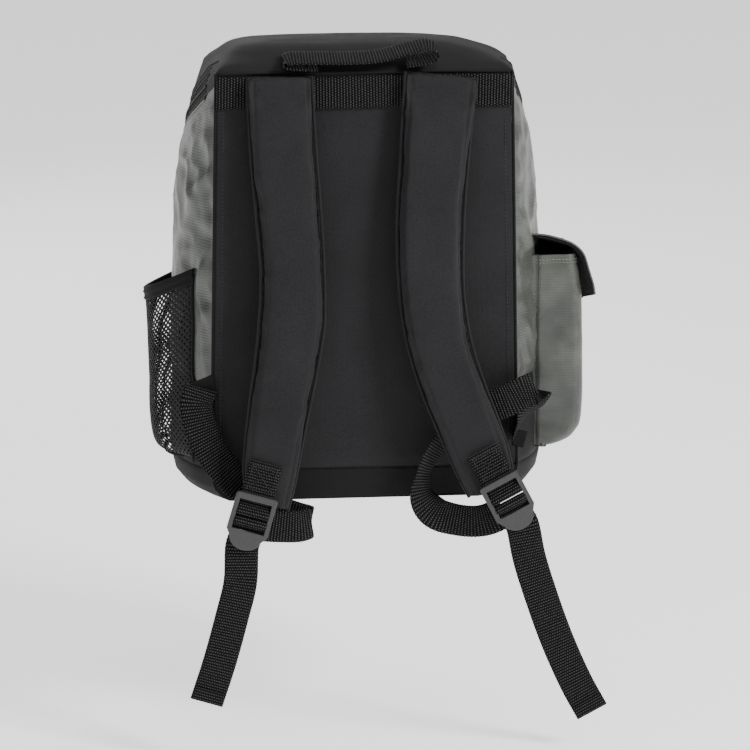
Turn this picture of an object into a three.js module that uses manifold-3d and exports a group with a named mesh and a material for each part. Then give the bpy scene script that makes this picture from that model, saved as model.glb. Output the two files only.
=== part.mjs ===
// A soft backpack for fishing tackle: a tall padded bag with a hood-like zipped lid, a zipped
// front pocket, a mesh bottle pocket, a flap pocket and two curved shoulder straps.
// Millimetres. +Z is up, the wearer stands on the -Y side and +X is the wearer's right.
// Shapes are worked out with z = 0 under the base; the finished group is lowered so that its
// origin is the middle of the back panel's outer face.
import * as THREE from 'three';
import { mergeVertices } from 'three/addons/utils/BufferGeometryUtils.js';
import Module from 'manifold-3d';

const wasm = await Module();
wasm.setup();

// ---------- driving dimensions ----------
const GAP = 0.3; // clearance between sewn neighbours
const WALL = 3; // lined and padded fabric wall of the bag
const BACK_HEIGHT = 386; // base to top seam
const ORIGIN_HEIGHT = 200; // height of the origin above the base
const TOP_HALF_WIDTH = 130; // back panel at the top seam
const BASE_HALF_WIDTH = 138; // back panel at the base
const SIDE_BULGE = 33; // how far each side stands out past the back panel
const BODY_DEPTH = 168; // back to front at mid height
const TOP_DEPTH_LOSS = 30; // the bag gets this much shallower at the top
const BASE_TRAY = 28; // height of the base tray
const BAND_TOP = 105; // the dark lower band ends here
const FRONT_HALF_WIDTH = 100; // front panel
const HOOD_SLOPE = THREE.MathUtils.degToRad(27.4); // the zip falls towards the front
const TAPE = 9; // half of the main zip
const HINGE_Y = 28; // the lid folds along this line
const BACK_SKIN = 2;
const BACK_LAYERS = { foam: 7, sheet: 1.5, lining: 1 };
const WEBBING = 30; // width of every strap
const WEBBING_THICK = 1.6;
const YOKE = { bottom: 354, top: 382 };
const FRONT_POCKET = { halfWidth: 92, bottom: 46, top: 244, radius: 34, wall: 2.5, tapeStart: 180, out: 197 };
const SIDE_POCKET = { back: 38, front: 122, wall: 2.2, top: 212 };
const MESH = { wall: 1.8, binding: 12 };
const RIM = { height: 208, start: 151, slope: 0.42, back: 26, fall: 0.147 };
const SLACK_WEBBING = { width: 26, thick: 1.4 };
const FLAP = { hingeX: 166, hingeZ: 229, thick: 1.6, lining: 1.2 };
const PAD_THICK = 9;
const PAD_LINING = 2;

const COLOURS = {
  charcoal: ['#323033', 0.85, 0],
  black: ['#17171a', 0.8, 0],
  green: ['#767c72', 0.5, 0],
  webbing: ['#1d1d1f', 0.8, 0],
  mesh: ['#151516', 0.7, 0],
  plastic: ['#3b3b3e', 0.45, 0],
  foam: ['#8d8f92', 0.95, 0],
  board: ['#4a4a4c', 0.6, 0],
  zipMetal: ['#55565a', 0.35, 0.8],
};

// ---------- solids ----------
const v = (x, y, z) => new THREE.Vector3(x, y, z);

function closeOutward(positions, index) {
  let volume = 0;
  const corner = (i) => v(positions[3 * i], positions[3 * i + 1], positions[3 * i + 2]);
  for (let i = 0; i < index.length; i += 3) {
    const [a, b, c] = [corner(index[i]), corner(index[i + 1]), corner(index[i + 2])];
    volume += a.dot(b.cross(c));
  }
  if (volume < 0) {
    for (let i = 0; i < index.length; i += 3) [index[i], index[i + 1]] = [index[i + 1], index[i]];
  }
  const geometry = new THREE.BufferGeometry();
  geometry.setAttribute('position', new THREE.Float32BufferAttribute(positions, 3));
  geometry.setIndex(index);
  return geometry;
}

// A closed body through rings that all have the same number of points.
function loft(rings) {
  const count = rings[0].length;
  const positions = rings.flatMap((ring) => ring.flatMap((p) => [p.x, p.y, p.z]));
  const index = [];
  for (let r = 0; r < rings.length - 1; r += 1) {
    for (let i = 0; i < count; i += 1) {
      const a = r * count + i;
      const b = r * count + ((i + 1) % count);
      index.push(a, b, b + count, a, b + count, a + count);
    }
  }
  const capRing = (ring, first, flip) => {
    const normal = v(0, 0, 0);
    ring.forEach((p, i) => normal.add(p.clone().cross(ring[(i + 1) % count])));
    normal.normalize();
    const side = Math.abs(normal.x) < 0.9 ? v(1, 0, 0) : v(0, 1, 0);
    const across = side.clone().cross(normal).normalize();
    const along = normal.clone().cross(across);
    const flat = ring.map((p) => new THREE.Vector2(p.dot(across), p.dot(along)));
    THREE.ShapeUtils.triangulateShape(flat, []).forEach(([a, b, c]) => {
      const face = [first + a, first + b, first + c];
      index.push(...(flip ? face.reverse() : face));
    });
  };
  capRing(rings[0], 0, true);
  capRing(rings.at(-1), (rings.length - 1) * count, false);
  return closeOutward(positions, index);
}

function toSolid(geometry) {
  const bare = new THREE.BufferGeometry();
  bare.setAttribute('position', geometry.getAttribute('position').clone());
  if (geometry.index) bare.setIndex(geometry.index.clone());
  const merged = mergeVertices(bare, 1e-3);
  const vertProperties = new Float32Array(merged.getAttribute('position').array);
  const triVerts = new Uint32Array(merged.index.array);
  return new wasm.Manifold(new wasm.Mesh({ numProp: 3, vertProperties, triVerts }));
}

function toGeometry(solid) {
  const { vertProperties, triVerts } = solid.getMesh();
  const geometry = new THREE.BufferGeometry();
  geometry.setAttribute('position', new THREE.BufferAttribute(vertProperties, 3));
  geometry.setIndex(new THREE.BufferAttribute(triVerts, 1));
  return geometry;
}

function block(x0, x1, y0, y1, z0, z1) {
  const geometry = new THREE.BoxGeometry(x1 - x0, y1 - y0, z1 - z0);
  geometry.translate((x0 + x1) / 2, (y0 + y1) / 2, (z0 + z1) / 2);
  return toSolid(geometry);
}

const FAR = 400;
const layerY = (y0, y1) => block(-FAR, FAR, y0, y1, -FAR, 2 * FAR);
const layerZ = (z0, z1) => block(-FAR, FAR, -FAR, FAR, z0, z1);

// The space between two planes parallel to the zip, measured up from the zip's middle.
function zipLayer(low, high) {
  const geometry = new THREE.BoxGeometry(2 * FAR, 4 * FAR, high - low);
  geometry.translate(0, 0, (low + high) / 2);
  geometry.rotateX(-HOOD_SLOPE);
  geometry.translate(0, 0, BACK_HEIGHT);
  return toSolid(geometry);
}

// A flat outline in the XZ plane, given a thickness along Y.
function slabY(outline, y0, y1, holes = []) {
  const shape = new THREE.Shape(outline);
  holes.forEach((hole) => shape.holes.push(new THREE.Path(hole)));
  const geometry = new THREE.ExtrudeGeometry(shape, { depth: y1 - y0, bevelEnabled: false });
  geometry.rotateX(Math.PI / 2);
  geometry.translate(0, y1, 0);
  return geometry;
}

function roundedOutline(halfWidth, bottom, top, radius, steps = 6) {
  const points = [];
  const corners = [
    [halfWidth - radius, top - radius, 0],
    [-(halfWidth - radius), top - radius, 90],
    [-(halfWidth - 8), bottom + 8, 180],
    [halfWidth - 8, bottom + 8, 270],
  ];
  corners.forEach(([x, z, start]) => {
    const r = z > (bottom + top) / 2 ? radius : 8;
    for (let i = 0; i <= steps; i += 1) {
      const angle = THREE.MathUtils.degToRad(start + (90 * i) / steps);
      points.push(new THREE.Vector2(x + r * Math.cos(angle), z + r * Math.sin(angle)));
    }
  });
  return points;
}

// Flat webbing along a route. Each stop holds its place and the direction of the webbing's width.
function ribbon(stops, width = WEBBING, thick = WEBBING_THICK, steps = 4) {
  const places = new THREE.CatmullRomCurve3(stops.map(([p]) => p), false, 'centripetal');
  const count = (stops.length - 1) * steps;
  const rings = [];
  for (let i = 0; i <= count; i += 1) {
    const t = i / count;
    const exact = t * (stops.length - 1);
    const k = Math.min(Math.floor(exact), stops.length - 2);
    const across = stops[k][1].clone().lerp(stops[k + 1][1], exact - k);
    const along = places.getTangent(t);
    across.addScaledVector(along, -across.dot(along)).normalize();
    const out = along.clone().cross(across);
    const place = places.getPoint(t);
    rings.push([[-1, -1], [1, -1], [1, 1], [-1, 1]].map(([a, b]) => place.clone()
      .addScaledVector(across, (a * width) / 2)
      .addScaledVector(out, (b * thick) / 2)));
  }
  return loft(rings);
}

// ---------- the bag's form ----------
function backHalfWidth(z) {
  return THREE.MathUtils.lerp(BASE_HALF_WIDTH, TOP_HALF_WIDTH, Math.max(z, 0) / BACK_HEIGHT);
}

function sideBulge(z) {
  return SIDE_BULGE * (1 - (Math.max(z - 200, 0) / 200) ** 2.5);
}

function bodyDepth(z) {
  return BODY_DEPTH - TOP_DEPTH_LOSS * (Math.max(z - 200, 0) / 186) ** 3;
}

// Levels of the form: height, then how far the side, the front and the back are drawn in there.
const LEVELS = [
  [0, 20, 12, 0], [4, 11, 6, 0], [12, 4, 2, 0], [28, 0, 0, 0], [105, 0, 0, 0], [200, 0, 0, 0],
  [250, 0, 0, 0], [300, 0, 0, 0], [346, 0, 0, 0], [386, 0, 0, 0], [391, 6, 5, 7],
  [395, 13, 10, 15], [400, 26, 20, 26], [404, 44, 32, 38], [406, 70, 48, 50],
];
const PROFILE_STEPS = 34;

function bodyRing([z, sideIn, frontIn, backIn], offset) {
  const level = Math.min(z, BACK_HEIGHT);
  const half = backHalfWidth(level);
  const bulge = sideBulge(level);
  const depth = bodyDepth(level);
  const corners = [
    [half, 0], [half + 0.62 * bulge, 0.21 * depth], [half + bulge, 0.5 * depth],
    [half + 0.8 * bulge, 0.75 * depth], [half + 0.8 * bulge - 25, 0.925 * depth],
    [80, depth - 1.5],
  ];
  const mirrored = corners.map(([x, y]) => [-x, y]).reverse();
  const squeezeX = 1 - sideIn / (half + bulge);
  const squeezeY = 1 - (frontIn + backIn) / depth;
  const route = [...corners, [0, depth], ...mirrored]
    .map(([x, y]) => v(x * squeezeX, backIn + y * squeezeY, z));
  const curve = new THREE.CatmullRomCurve3(route, false, 'centripetal');
  const points = curve.getSpacedPoints(PROFILE_STEPS);
  return points.map((p, i) => {
    const before = points[Math.max(i - 1, 0)];
    const after = points[Math.min(i + 1, points.length - 1)];
    const normal = after.clone().sub(before).normalize().cross(v(0, 0, 1));
    return p.clone().addScaledVector(normal, offset);
  });
}

function bodyForm(offset) {
  return toSolid(loft(LEVELS.map((level) => bodyRing(level, offset))));
}

// The hollow inside a wall of the given thickness. It runs out through the back.
function hollowForm(wall) {
  const behind = -20;
  const rings = LEVELS.map((level) => {
    const z = level[0] < BACK_HEIGHT ? Math.max(level[0], wall) : level[0] - wall;
    const points = bodyRing(level, -wall).map((p) => v(p.x, p.y, z));
    const y = level[0] < BACK_HEIGHT ? behind : Math.min(points[0].y - GAP, level[3]);
    return [v(points[0].x, y, z), ...points, v(points.at(-1).x, y, z)];
  });
  return toSolid(loft([rings[0], ...rings.filter((ring) => ring[0].z > wall)]));
}

const outside = bodyForm(0);
const clearOfBody = bodyForm(GAP);
const shell = outside.subtract(hollowForm(WALL)).intersect(layerY(BACK_SKIN + GAP, FAR));
const inside = hollowForm(WALL + GAP);

const group = new THREE.Group();
group.position.z = -ORIGIN_HEIGHT;

function addNode(name, shape, look) {
  const geometry = shape.isBufferGeometry ? shape : toGeometry(shape);
  const [color, roughness, metalness] = COLOURS[look];
  const mesh = new THREE.Mesh(geometry, new THREE.MeshStandardMaterial({ color, roughness, metalness }));
  mesh.name = name;
  group.add(mesh);
  return mesh;
}

const SIDES = [['left', -1], ['right', 1]];

// ---------- back wall ----------
function buildBack() {
  addNode('back_panel', outside.intersect(layerY(-GAP, BACK_SKIN)), 'charcoal');
  let y = BACK_SKIN + GAP;
  const layers = [['back_foam', 'foam', 'foam'], ['frame_sheet', 'sheet', 'board'],
    ['back_lining', 'lining', 'black']];
  layers.forEach(([name, key, look]) => {
    const layer = layerY(y, y + BACK_LAYERS[key]).intersect(layerZ(8, BACK_HEIGHT - 6));
    addNode(name, inside.intersect(layer), look);
    y += BACK_LAYERS[key] + GAP;
  });
  const half = TOP_HALF_WIDTH;
  addNode('yoke_webbing', block(-half, half, -WEBBING_THICK - GAP, -GAP, YOKE.bottom, YOKE.top),
    'webbing');
  return y;
}

// ---------- panels of the bag ----------
function buildPanels(frontOfBack) {
  const seam = GAP / 2;
  const belowZip = zipLayer(-2 * FAR, -TAPE - seam);
  const ahead = layerY(HINGE_Y + seam, FAR);
  const frontBlock = block(-FRONT_HALF_WIDTH, FRONT_HALF_WIDTH, BODY_DEPTH / 2, FAR, 0, FAR);
  const besideFront = shell.subtract(
    block(-FRONT_HALF_WIDTH - GAP, FRONT_HALF_WIDTH + GAP, BODY_DEPTH / 2, FAR, 0, FAR),
  );
  addNode('base_panel', shell.intersect(layerZ(-1, BASE_TRAY - seam)), 'black');
  addNode('front_panel', shell.intersect(frontBlock)
    .intersect(layerZ(BASE_TRAY + seam, FAR)).intersect(belowZip), 'green');
  SIDES.forEach(([side, sign]) => {
    const half = sign < 0 ? block(-FAR, -GAP, 0, FAR, 0, FAR) : block(GAP, FAR, 0, FAR, 0, FAR);
    const flank = besideFront.intersect(half);
    addNode(`lower_band_${side}`, flank.intersect(layerZ(BASE_TRAY + seam, BAND_TOP - seam)), 'black');
    addNode(`side_panel_${side}`, flank.intersect(layerZ(BAND_TOP + seam, FAR)).intersect(belowZip),
      'green');
  });
  addNode('top_rear_strip', shell.intersect(zipLayer(-TAPE + seam, FAR))
    .intersect(layerY(0, HINGE_Y - seam)), 'black');
  addNode('main_zip_lower', shell.intersect(zipLayer(-TAPE + seam, -seam)).intersect(ahead), 'black');
  addNode('main_zip_upper', shell.intersect(zipLayer(seam, TAPE - seam)).intersect(ahead), 'black');
  addNode('lid_panel', shell.intersect(zipLayer(TAPE + seam, 2 * FAR)).intersect(ahead), 'black');
  const room = layerY(frontOfBack, FAR);
  addNode('base_board', inside.intersect(layerZ(WALL + 2 * GAP, WALL + 4)).intersect(room), 'board');
}

// ---------- zip sliders ----------
// A slider body with a bridge, facing +Y, and its pull tab hanging below the bridge.
const SLIDER = { width: 9, height: 12, thick: 2.4, clear: 1.3, bridge: 3 };
const PULL = { width: 7.8, thick: 2, drop: 30, rise: 0.6 };

// Height of the zip at the middle of the front, where it meets the bag's own curve.
function zipFrontHeight() {
  let z = BACK_HEIGHT - BODY_DEPTH * Math.tan(HOOD_SLOPE);
  for (let i = 0; i < 6; i += 1) z = BACK_HEIGHT - bodyDepth(z) * Math.tan(HOOD_SLOPE);
  return z;
}

function buildMainSliders() {
  const z = zipFrontHeight();
  const plateY = bodyDepth(z) + SLIDER.clear;
  const bridgeY = plateY + SLIDER.thick;
  const pullY = bridgeY + SLIDER.bridge + GAP;
  const half = SLIDER.width / 2;
  SIDES.forEach(([side, sign]) => {
    const x = sign * (half + 0.5);
    const plate = block(x - half, x + half, plateY, bridgeY, z - SLIDER.height / 2, z + SLIDER.height / 2);
    const bridge = block(x - 1.2, x + 1.2, bridgeY - 0.1, bridgeY + SLIDER.bridge, z - 4, z + 4);
    const eye = block(x - 2, x + 2, bridgeY, bridgeY + 1.6, z - 2.6, z + 2.6);
    addNode(`main_zip_slider_${side}`, plate.add(bridge).subtract(eye), 'zipMetal');
    addNode(`main_zip_pull_${side}`, block(x - PULL.width / 2, x + PULL.width / 2,
      pullY, pullY + PULL.thick, z - PULL.drop, z + PULL.rise), 'webbing');
  });
}

// ---------- front pocket ----------
function pocketWall(shrink, y0, y1) {
  const { halfWidth, bottom, top, radius, wall } = FRONT_POCKET;
  const outline = (d) => roundedOutline(halfWidth - d, bottom + d, top - d, radius - d);
  return slabY(outline(shrink), y0, y1, [outline(shrink + wall)]);
}

function buildFrontPocket() {
  const { halfWidth, bottom, top, radius, wall, tapeStart, out } = FRONT_POCKET;
  const tapeWidth = 5;
  const mid = tapeStart + tapeWidth;
  const doorStart = mid + tapeWidth;
  addNode('front_pocket_wall', toSolid(pocketWall(0, BODY_DEPTH - 20, tapeStart - GAP))
    .subtract(clearOfBody), 'green');
  const aboveFloor = block(-FAR, FAR, 0, FAR, bottom + 9, FAR);
  addNode('front_zip_fixed', toSolid(pocketWall(0, tapeStart, mid - GAP / 2))
    .intersect(aboveFloor), 'black');
  addNode('front_zip_door', toSolid(pocketWall(0, mid + GAP / 2, doorStart - GAP))
    .intersect(aboveFloor), 'black');
  const face = roundedOutline(halfWidth, bottom, top, radius);
  const door = toSolid(slabY(face, doorStart, out))
    .subtract(toSolid(slabY(roundedOutline(halfWidth - wall, bottom + wall, top - wall, radius - wall),
      doorStart - 5, out - wall)))
    .add(block(-halfWidth + 9, halfWidth - 9, tapeStart + GAP, doorStart + 1, bottom, bottom + wall));
  addNode('front_pocket_door', door, 'green');
  const z0 = top + 0.9;
  const slider = block(-5, 5, mid - 5.5, mid + 4.6, z0, z0 + SLIDER.thick);
  const bridge = block(-1.2, 1.2, mid - 3, mid + 3, z0 + SLIDER.thick - 0.1, z0 + 4.4);
  addNode('front_zip_slider', slider.add(bridge), 'zipMetal');
  const pullOut = out + 0.8 + PULL.thick;
  addNode('front_zip_pull', block(-4, 4, mid + 5, pullOut, z0 + 0.2, z0 + 2.4)
    .add(block(-4, 4, out + 0.8, pullOut, z0 - 26, z0 + 2.4)), 'webbing');
}

// ---------- flap pocket on the right ----------
function sidePocketForm(inset, openTop) {
  const { back, front, top } = SIDE_POCKET;
  const levels = [[36, 176], [42, 189], [52, 199], [64, 201.5], [120, 202], [173, 200.7], [top, 195.5]];
  const radius = 9;
  const rings = levels.map(([z, outX]) => {
    const x = outX - inset;
    const y0 = back + inset;
    const y1 = front - inset;
    const ring = [v(140, y0, 0)];
    for (let i = 0; i <= 4; i += 1) {
      const a = (Math.PI / 8) * i;
      ring.push(v(x - radius + radius * Math.sin(a), y0 + radius - radius * Math.cos(a), 0));
    }
    for (let i = 0; i <= 4; i += 1) {
      const a = (Math.PI / 8) * i;
      ring.push(v(x - radius + radius * Math.cos(a), y1 - radius + radius * Math.sin(a), 0));
    }
    ring.push(v(140, y1, 0));
    const height = z === levels[0][0] ? z + inset : z;
    ring.forEach((p) => { p.z = z === top && openTop ? top + 20 : height; });
    return ring;
  });
  return toSolid(loft(rings));
}

// A layer that follows a line in the XZ plane, between two distances to the line's outer side.
// It starts at the line's point number first.
function layerAlong(line, inner, outer, y0, y1, first = 0) {
  const normals = line.map((p, i) => {
    const [ax, az] = line[Math.max(i - 1, 0)];
    const [bx, bz] = line[Math.min(i + 1, line.length - 1)];
    return new THREE.Vector2(az - bz, bx - ax).normalize();
  });
  const offset = (distance) => line.map(([x, z], i) => new THREE.Vector2(x, z)
    .addScaledVector(normals[i], distance)).slice(first);
  return slabY([...offset(outer), ...offset(inner).reverse()], y0, y1);
}

function buildFlapPocket() {
  const { back, front, wall } = SIDE_POCKET;
  addNode('side_pocket', sidePocketForm(0, false).subtract(sidePocketForm(wall, true))
    .subtract(clearOfBody), 'green');
  const line = [[150, 230], [166, 229], [184, 224], [193, 219.5], [201, 212], [208, 197], [213.5, 184],
    [216, 174]];
  const half = FLAP.thick / 2;
  const underLining = -half - GAP - FLAP.lining;
  const [y0, y1] = [back + 14, front - 14];
  addNode('side_flap', toSolid(layerAlong(line, -half, half, back - 2, front + 2))
    .subtract(clearOfBody), 'green');
  addNode('side_flap_lining', toSolid(layerAlong(line, underLining, -half - GAP, back, front, 1))
    .subtract(clearOfBody), 'black');
  addNode('side_flap_fastener', layerAlong(line, underLining - GAP - 1, underLining - GAP, y0, y1, 5),
    'mesh');
  addNode('side_pocket_fastener', block(202.3, 203.3, y0, y1, 146, 164), 'mesh');
}

// ---------- mesh pocket on the left ----------
function meshPocketForm(offset, openTop) {
  const levels = [[30, 172], [36, 184], [50, 188.5], [110, 190], [170, 192], [215, 195.5]];
  const rings = levels.map(([z, out]) => {
    const route = [[-140, 26], [-152, 26.5], [-(out - 22), 38], [-(out - 5), 57], [-out, 80],
      [-(out - 7), 108], [-(out - 26), 130], [-152, 139], [-140, 140]].map(([x, y]) => v(x, y, 0));
    const curve = new THREE.CatmullRomCurve3(route, false, 'centripetal');
    const points = curve.getSpacedPoints(18);
    const lowest = z === levels[0][0];
    return points.map((p, i) => {
      const before = points[Math.max(i - 1, 0)];
      const after = points[Math.min(i + 1, points.length - 1)];
      const normal = after.clone().sub(before).normalize().cross(v(0, 0, -1));
      const q = p.clone().addScaledVector(normal, offset);
      q.z = z - (lowest ? offset : 0) + (openTop && z === 215 ? 30 : 0);
      return q;
    });
  });
  return toSolid(loft(rings));
}

// The space under the slanting rim, from one depth below it to another.
function rimLayer(high, low) {
  const geometry = new THREE.BoxGeometry(4 * FAR, 2 * FAR, low - high);
  geometry.translate(0, 0, -(high + low) / 2);
  geometry.rotateX(-Math.atan(RIM.fall));
  geometry.rotateY(-Math.atan(RIM.slope));
  geometry.translate(-RIM.start, RIM.back, RIM.height);
  return toSolid(geometry);
}

function buildMeshPocket() {
  const { wall, binding } = MESH;
  const net = meshPocketForm(0, false).subtract(meshPocketForm(-wall, true)).subtract(clearOfBody);
  addNode('mesh_pocket', net.intersect(rimLayer(binding + GAP, FAR)), 'mesh');
  const hem = meshPocketForm(0.6, true).subtract(meshPocketForm(-wall - 0.6, true)).subtract(clearOfBody);
  addNode('mesh_pocket_binding', hem.intersect(rimLayer(0, binding)), 'black');
}

// ---------- grab handle ----------
function buildHandle() {
  const tilt = THREE.MathUtils.degToRad(18);
  const across = v(0, Math.cos(tilt), Math.sin(tilt));
  const route = [[-42, 391.5], [-56, 392.5], [-67, 395.5], [-71, 399.5], [-66, 403], [-50, 401],
    [-19, 397], [12, 399], [38, 405.5], [54, 408], [62, 405], [62, 400], [53, 396.5], [36, 394]];
  addNode('grab_handle', ribbon(route.map(([x, z]) => [v(x, 0, z), across]), 26, 1.6, 3), 'webbing');
}

// ---------- shoulder straps ----------
// Each station of a pad: across, out from the back, height and half width.
const PADS = {
  left: [[-75, -10, 383, 28], [-74.5, -14, 354, 28.5], [-72.5, -19, 311, 28.7], [-69, -23, 263, 28.5],
    [-66.1, -26, 215, 27.8], [-67, -29, 171, 29], [-71.8, -32, 135, 28], [-78, -34.5, 100, 27],
    [-83.5, -37, 67, 25.5], [-87.5, -38.5, 38, 24], [-91, -39, 8, 21]],
  right: [[66.3, -10, 383, 32], [63, -14, 352, 31], [59, -19, 305, 30], [55.6, -23, 252, 29.8],
    [57, -26, 190, 28.5], [64, -29, 145, 28], [74.5, -32, 110, 27.5], [87, -34.5, 78, 27],
    [98.5, -37, 48, 26], [105, -38.5, 28, 24], [108, -39, 12, 19]],
};
const PAD_END_TURN = { left: -24, right: 12 };

// Where a ladder lock's top bar is, and how far the lock leans.
const LOCKS = {
  left: { place: v(-100.6, -52, 14.9), lean: THREE.MathUtils.degToRad(16.7) },
  right: { place: v(114.8, -52, 24.6), lean: THREE.MathUtils.degToRad(-27.9) },
};
const LOCK = {
  halfWidth: 18.5, rail: 3.6, top: 3, topBar: 4.5, holdBar: -13.5, gripBar: -22, windowEnd: -30.5,
  bottom: -36, lip: 11, frame: 4.5, bar: 1.5,
};
const TAIL_START = -38;

// Maps a lock's own measures (across, up, out towards the wearer) into the bag's frame.
function lockFrame({ place, lean }) {
  const across = v(Math.cos(lean), 0, -Math.sin(lean));
  const up = v(Math.sin(lean), 0, Math.cos(lean));
  const out = v(0, -1, 0);
  const matrix = new THREE.Matrix4().makeBasis(across, up, out).setPosition(place);
  return { matrix, across, at: (u, w, o) => v(u, w, o).applyMatrix4(matrix) };
}

function padGeometry(stations, endTurn, front, back) {
  const rings = stations.map(([x, y, z, half], i) => {
    const [ax, , az] = stations[Math.max(i - 1, 0)];
    const [bx, , bz] = stations[Math.min(i + 1, stations.length - 1)];
    const last = i === stations.length - 1;
    const angle = last ? THREE.MathUtils.degToRad(endTurn) : Math.atan2(bx - ax, az - bz);
    const across = v(Math.cos(angle), 0, Math.sin(angle));
    const section = [];
    const steps = 6;
    for (let k = 0; k <= steps; k += 1) {
      const a = -1 + (2 * k) / steps;
      const crown = front + (back - front) * 0.35 * Math.abs(a) ** 3;
      section.push(v(x, y - crown, z).addScaledVector(across, a * half));
    }
    for (let k = steps; k >= 0; k -= 1) {
      const a = -1 + (2 * k) / steps;
      section.push(v(x, y - back, z).addScaledVector(across, a * half));
    }
    return section;
  });
  return loft(rings);
}

function buildLock(side) {
  const frame = lockFrame(LOCKS[side]);
  const { halfWidth, rail, top, topBar, holdBar, gripBar, windowEnd, bottom, lip, bar } = LOCK;
  const outline = [[-halfWidth, top], [halfWidth, top], [halfWidth, bottom + 4], [halfWidth - 6, bottom]];
  for (let i = 0; i <= 8; i += 1) {
    const a = (Math.PI * i) / 8;
    outline.push([(halfWidth - 7) * Math.cos(a), bottom - lip * Math.sin(a)]);
  }
  outline.push([-(halfWidth - 6), bottom], [-halfWidth, bottom + 4]);
  const windowHalf = halfWidth - rail;
  const windowTop = top - topBar;
  const window = [[-windowHalf, windowEnd], [windowHalf, windowEnd], [windowHalf, windowTop],
    [-windowHalf, windowTop]];
  const shape = new THREE.Shape(outline.map(([x, y]) => new THREE.Vector2(x, y)));
  shape.holes.push(new THREE.Path(window.map(([x, y]) => new THREE.Vector2(x, y))));
  const plate = new THREE.ExtrudeGeometry(shape, { depth: LOCK.frame, bevelEnabled: false });
  plate.translate(0, 0, -LOCK.frame / 2);
  let lock = toSolid(plate);
  [holdBar, gripBar].forEach((height) => {
    const rod = new THREE.CylinderGeometry(bar, bar, 2 * (halfWidth - rail) + 1, 8);
    rod.rotateZ(Math.PI / 2);
    rod.translate(0, height, 0);
    lock = lock.add(toSolid(rod));
  });
  const geometry = toGeometry(lock);
  geometry.applyMatrix4(frame.matrix);
  addNode(`ladder_lock_${side}`, geometry, 'plastic');
}

// The webbing patch on the pad's end, its loop round the lock's holding bar, and the short
// length that the lock grips.
function buildLockWebbing(side) {
  const frame = lockFrame(LOCKS[side]);
  const { holdBar, gripBar } = LOCK;
  const along = (steps) => steps.map(([w, o]) => [frame.at(0, w, o), frame.across]);
  const loop = [[32, -6.4], [20, -6.2], [9, -4.6], [1, -3.6], [-3, -3.2], [-8, -0.2],
    [holdBar + 2.2, 2.1],
    [holdBar, 2.7], [holdBar - 2.4, 1.6], [holdBar - 2.6, -1.2], [holdBar, -3], [-6, -4.6],
    [2, -5.6]];
  addNode(`strap_patch_${side}`, ribbon(along(loop), 28, 1.2, 3), 'webbing');
  const grip = [[gripBar + 2.9, 0.4], [gripBar + 1.8, 2.2], [gripBar, 2.9], [gripBar - 4, 0.6],
    [-28.6, -2.6], [-32, -3.8], [TAIL_START + 1.2, -3.8]];
  addNode(`gripped_webbing_${side}`, ribbon(along(grip), 28, 1.4, 3), 'webbing');
}

const TAILS = {
  left: [[-115.6, -48, -61.6], [-123.4, -47, -94.5], [-134.9, -46, -136.8], [-146.8, -45, -173.7]],
  right: [[142.6, -48, -45.6], [154.4, -47, -83.6], [170, -46, -126.6], [187.1, -45, -165.3],
    [202.3, -44, -193.7]],
};

function buildTail(side) {
  const frame = lockFrame(LOCKS[side]);
  const start = [[TAIL_START, -3.8], [TAIL_START - 8, -4]].map(([w, o]) => frame.at(0, w, o));
  const route = [...start, ...TAILS[side].map((p) => v(...p))];
  const stops = route.map((p, i) => {
    const a = route[Math.max(i - 1, 0)];
    const b = route[Math.min(i + 1, route.length - 1)];
    const across = b.clone().sub(a).normalize().cross(v(0, 1, 0));
    return [p, across.normalize()];
  });
  addNode(`strap_tail_${side}`, ribbon(stops, WEBBING, WEBBING_THICK, 3), 'webbing');
}

// The lower webbing leaves the side seam, hangs in a slack loop and comes up behind the lock.
// Each stop: place, then the direction of the webbing's width.
const LOWER_WEBBING = {
  left: [
    [[-147, -5.5, 106], [0.93, 0, 0.37]], [[-151, -8, 92], [0.98, 0, 0.2]],
    [[-148, -12, 72], [0.97, 0, -0.2]], [[-138, -15, 50], [0.9, 0, -0.43]],
    [[-124, -18, 30], [0.82, 0, -0.57]], [[-106, -20, 11], [0.72, 0, -0.69]],
    [[-84, -22, -3], [0.45, 0, -0.89]], [[-63, -25, -10], [0.15, 0, -0.99]],
    [[-51, -30.5, -13], [0, 0, -1]], [[-60, -36, -15], [0, 0, -1]],
    [[-82, -40, -14], [0.1, 0.1, -0.98]], [[-101, -43.5, -11], [0.3, 0.1, -0.95]],
  ],
  right: [
    [[143, -5, 52], [-0.93, 0, 0.35]], [[147, -7, 68], [-0.93, 0, 0.35]],
    [[150, -8, 86], [-0.8, 0, 0.6]], [[151, -12, 100], [-0.69, 0, 0.72]],
    [[143, -17, 99], [-0.5, 0, 0.86]], [[128, -18, 92], [-0.37, 0, 0.93]],
    [[106, -18, 83], [-0.42, 0, 0.9]],
    [[82, -18, 68], [-0.5, -0.3, 0.8]], [[62, -19, 48], [-0.5, -0.75, 0.45]],
    [[50, -22, 26], [-0.45, -0.8, 0.3]], [[49, -25, 6], [-0.75, -0.6, -0.25]],
    [[60, -28, -8], [-0.5, -0.2, -0.85]], [[78, -31, -14], [-0.2, 0, -0.98]],
    [[98, -35, -15], [0, 0, -1]], [[111, -38, -11], [-0.2, 0, -0.97]],
    [[121, -40.5, -4], [-0.4, 0, -0.9]],
  ],
};

function buildLowerWebbing(side) {
  const stops = LOWER_WEBBING[side].map(([place, across]) => [v(...place), v(...across)]);
  addNode(`lower_webbing_${side}`, ribbon(stops, SLACK_WEBBING.width, SLACK_WEBBING.thick, 3), 'webbing');
}

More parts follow.
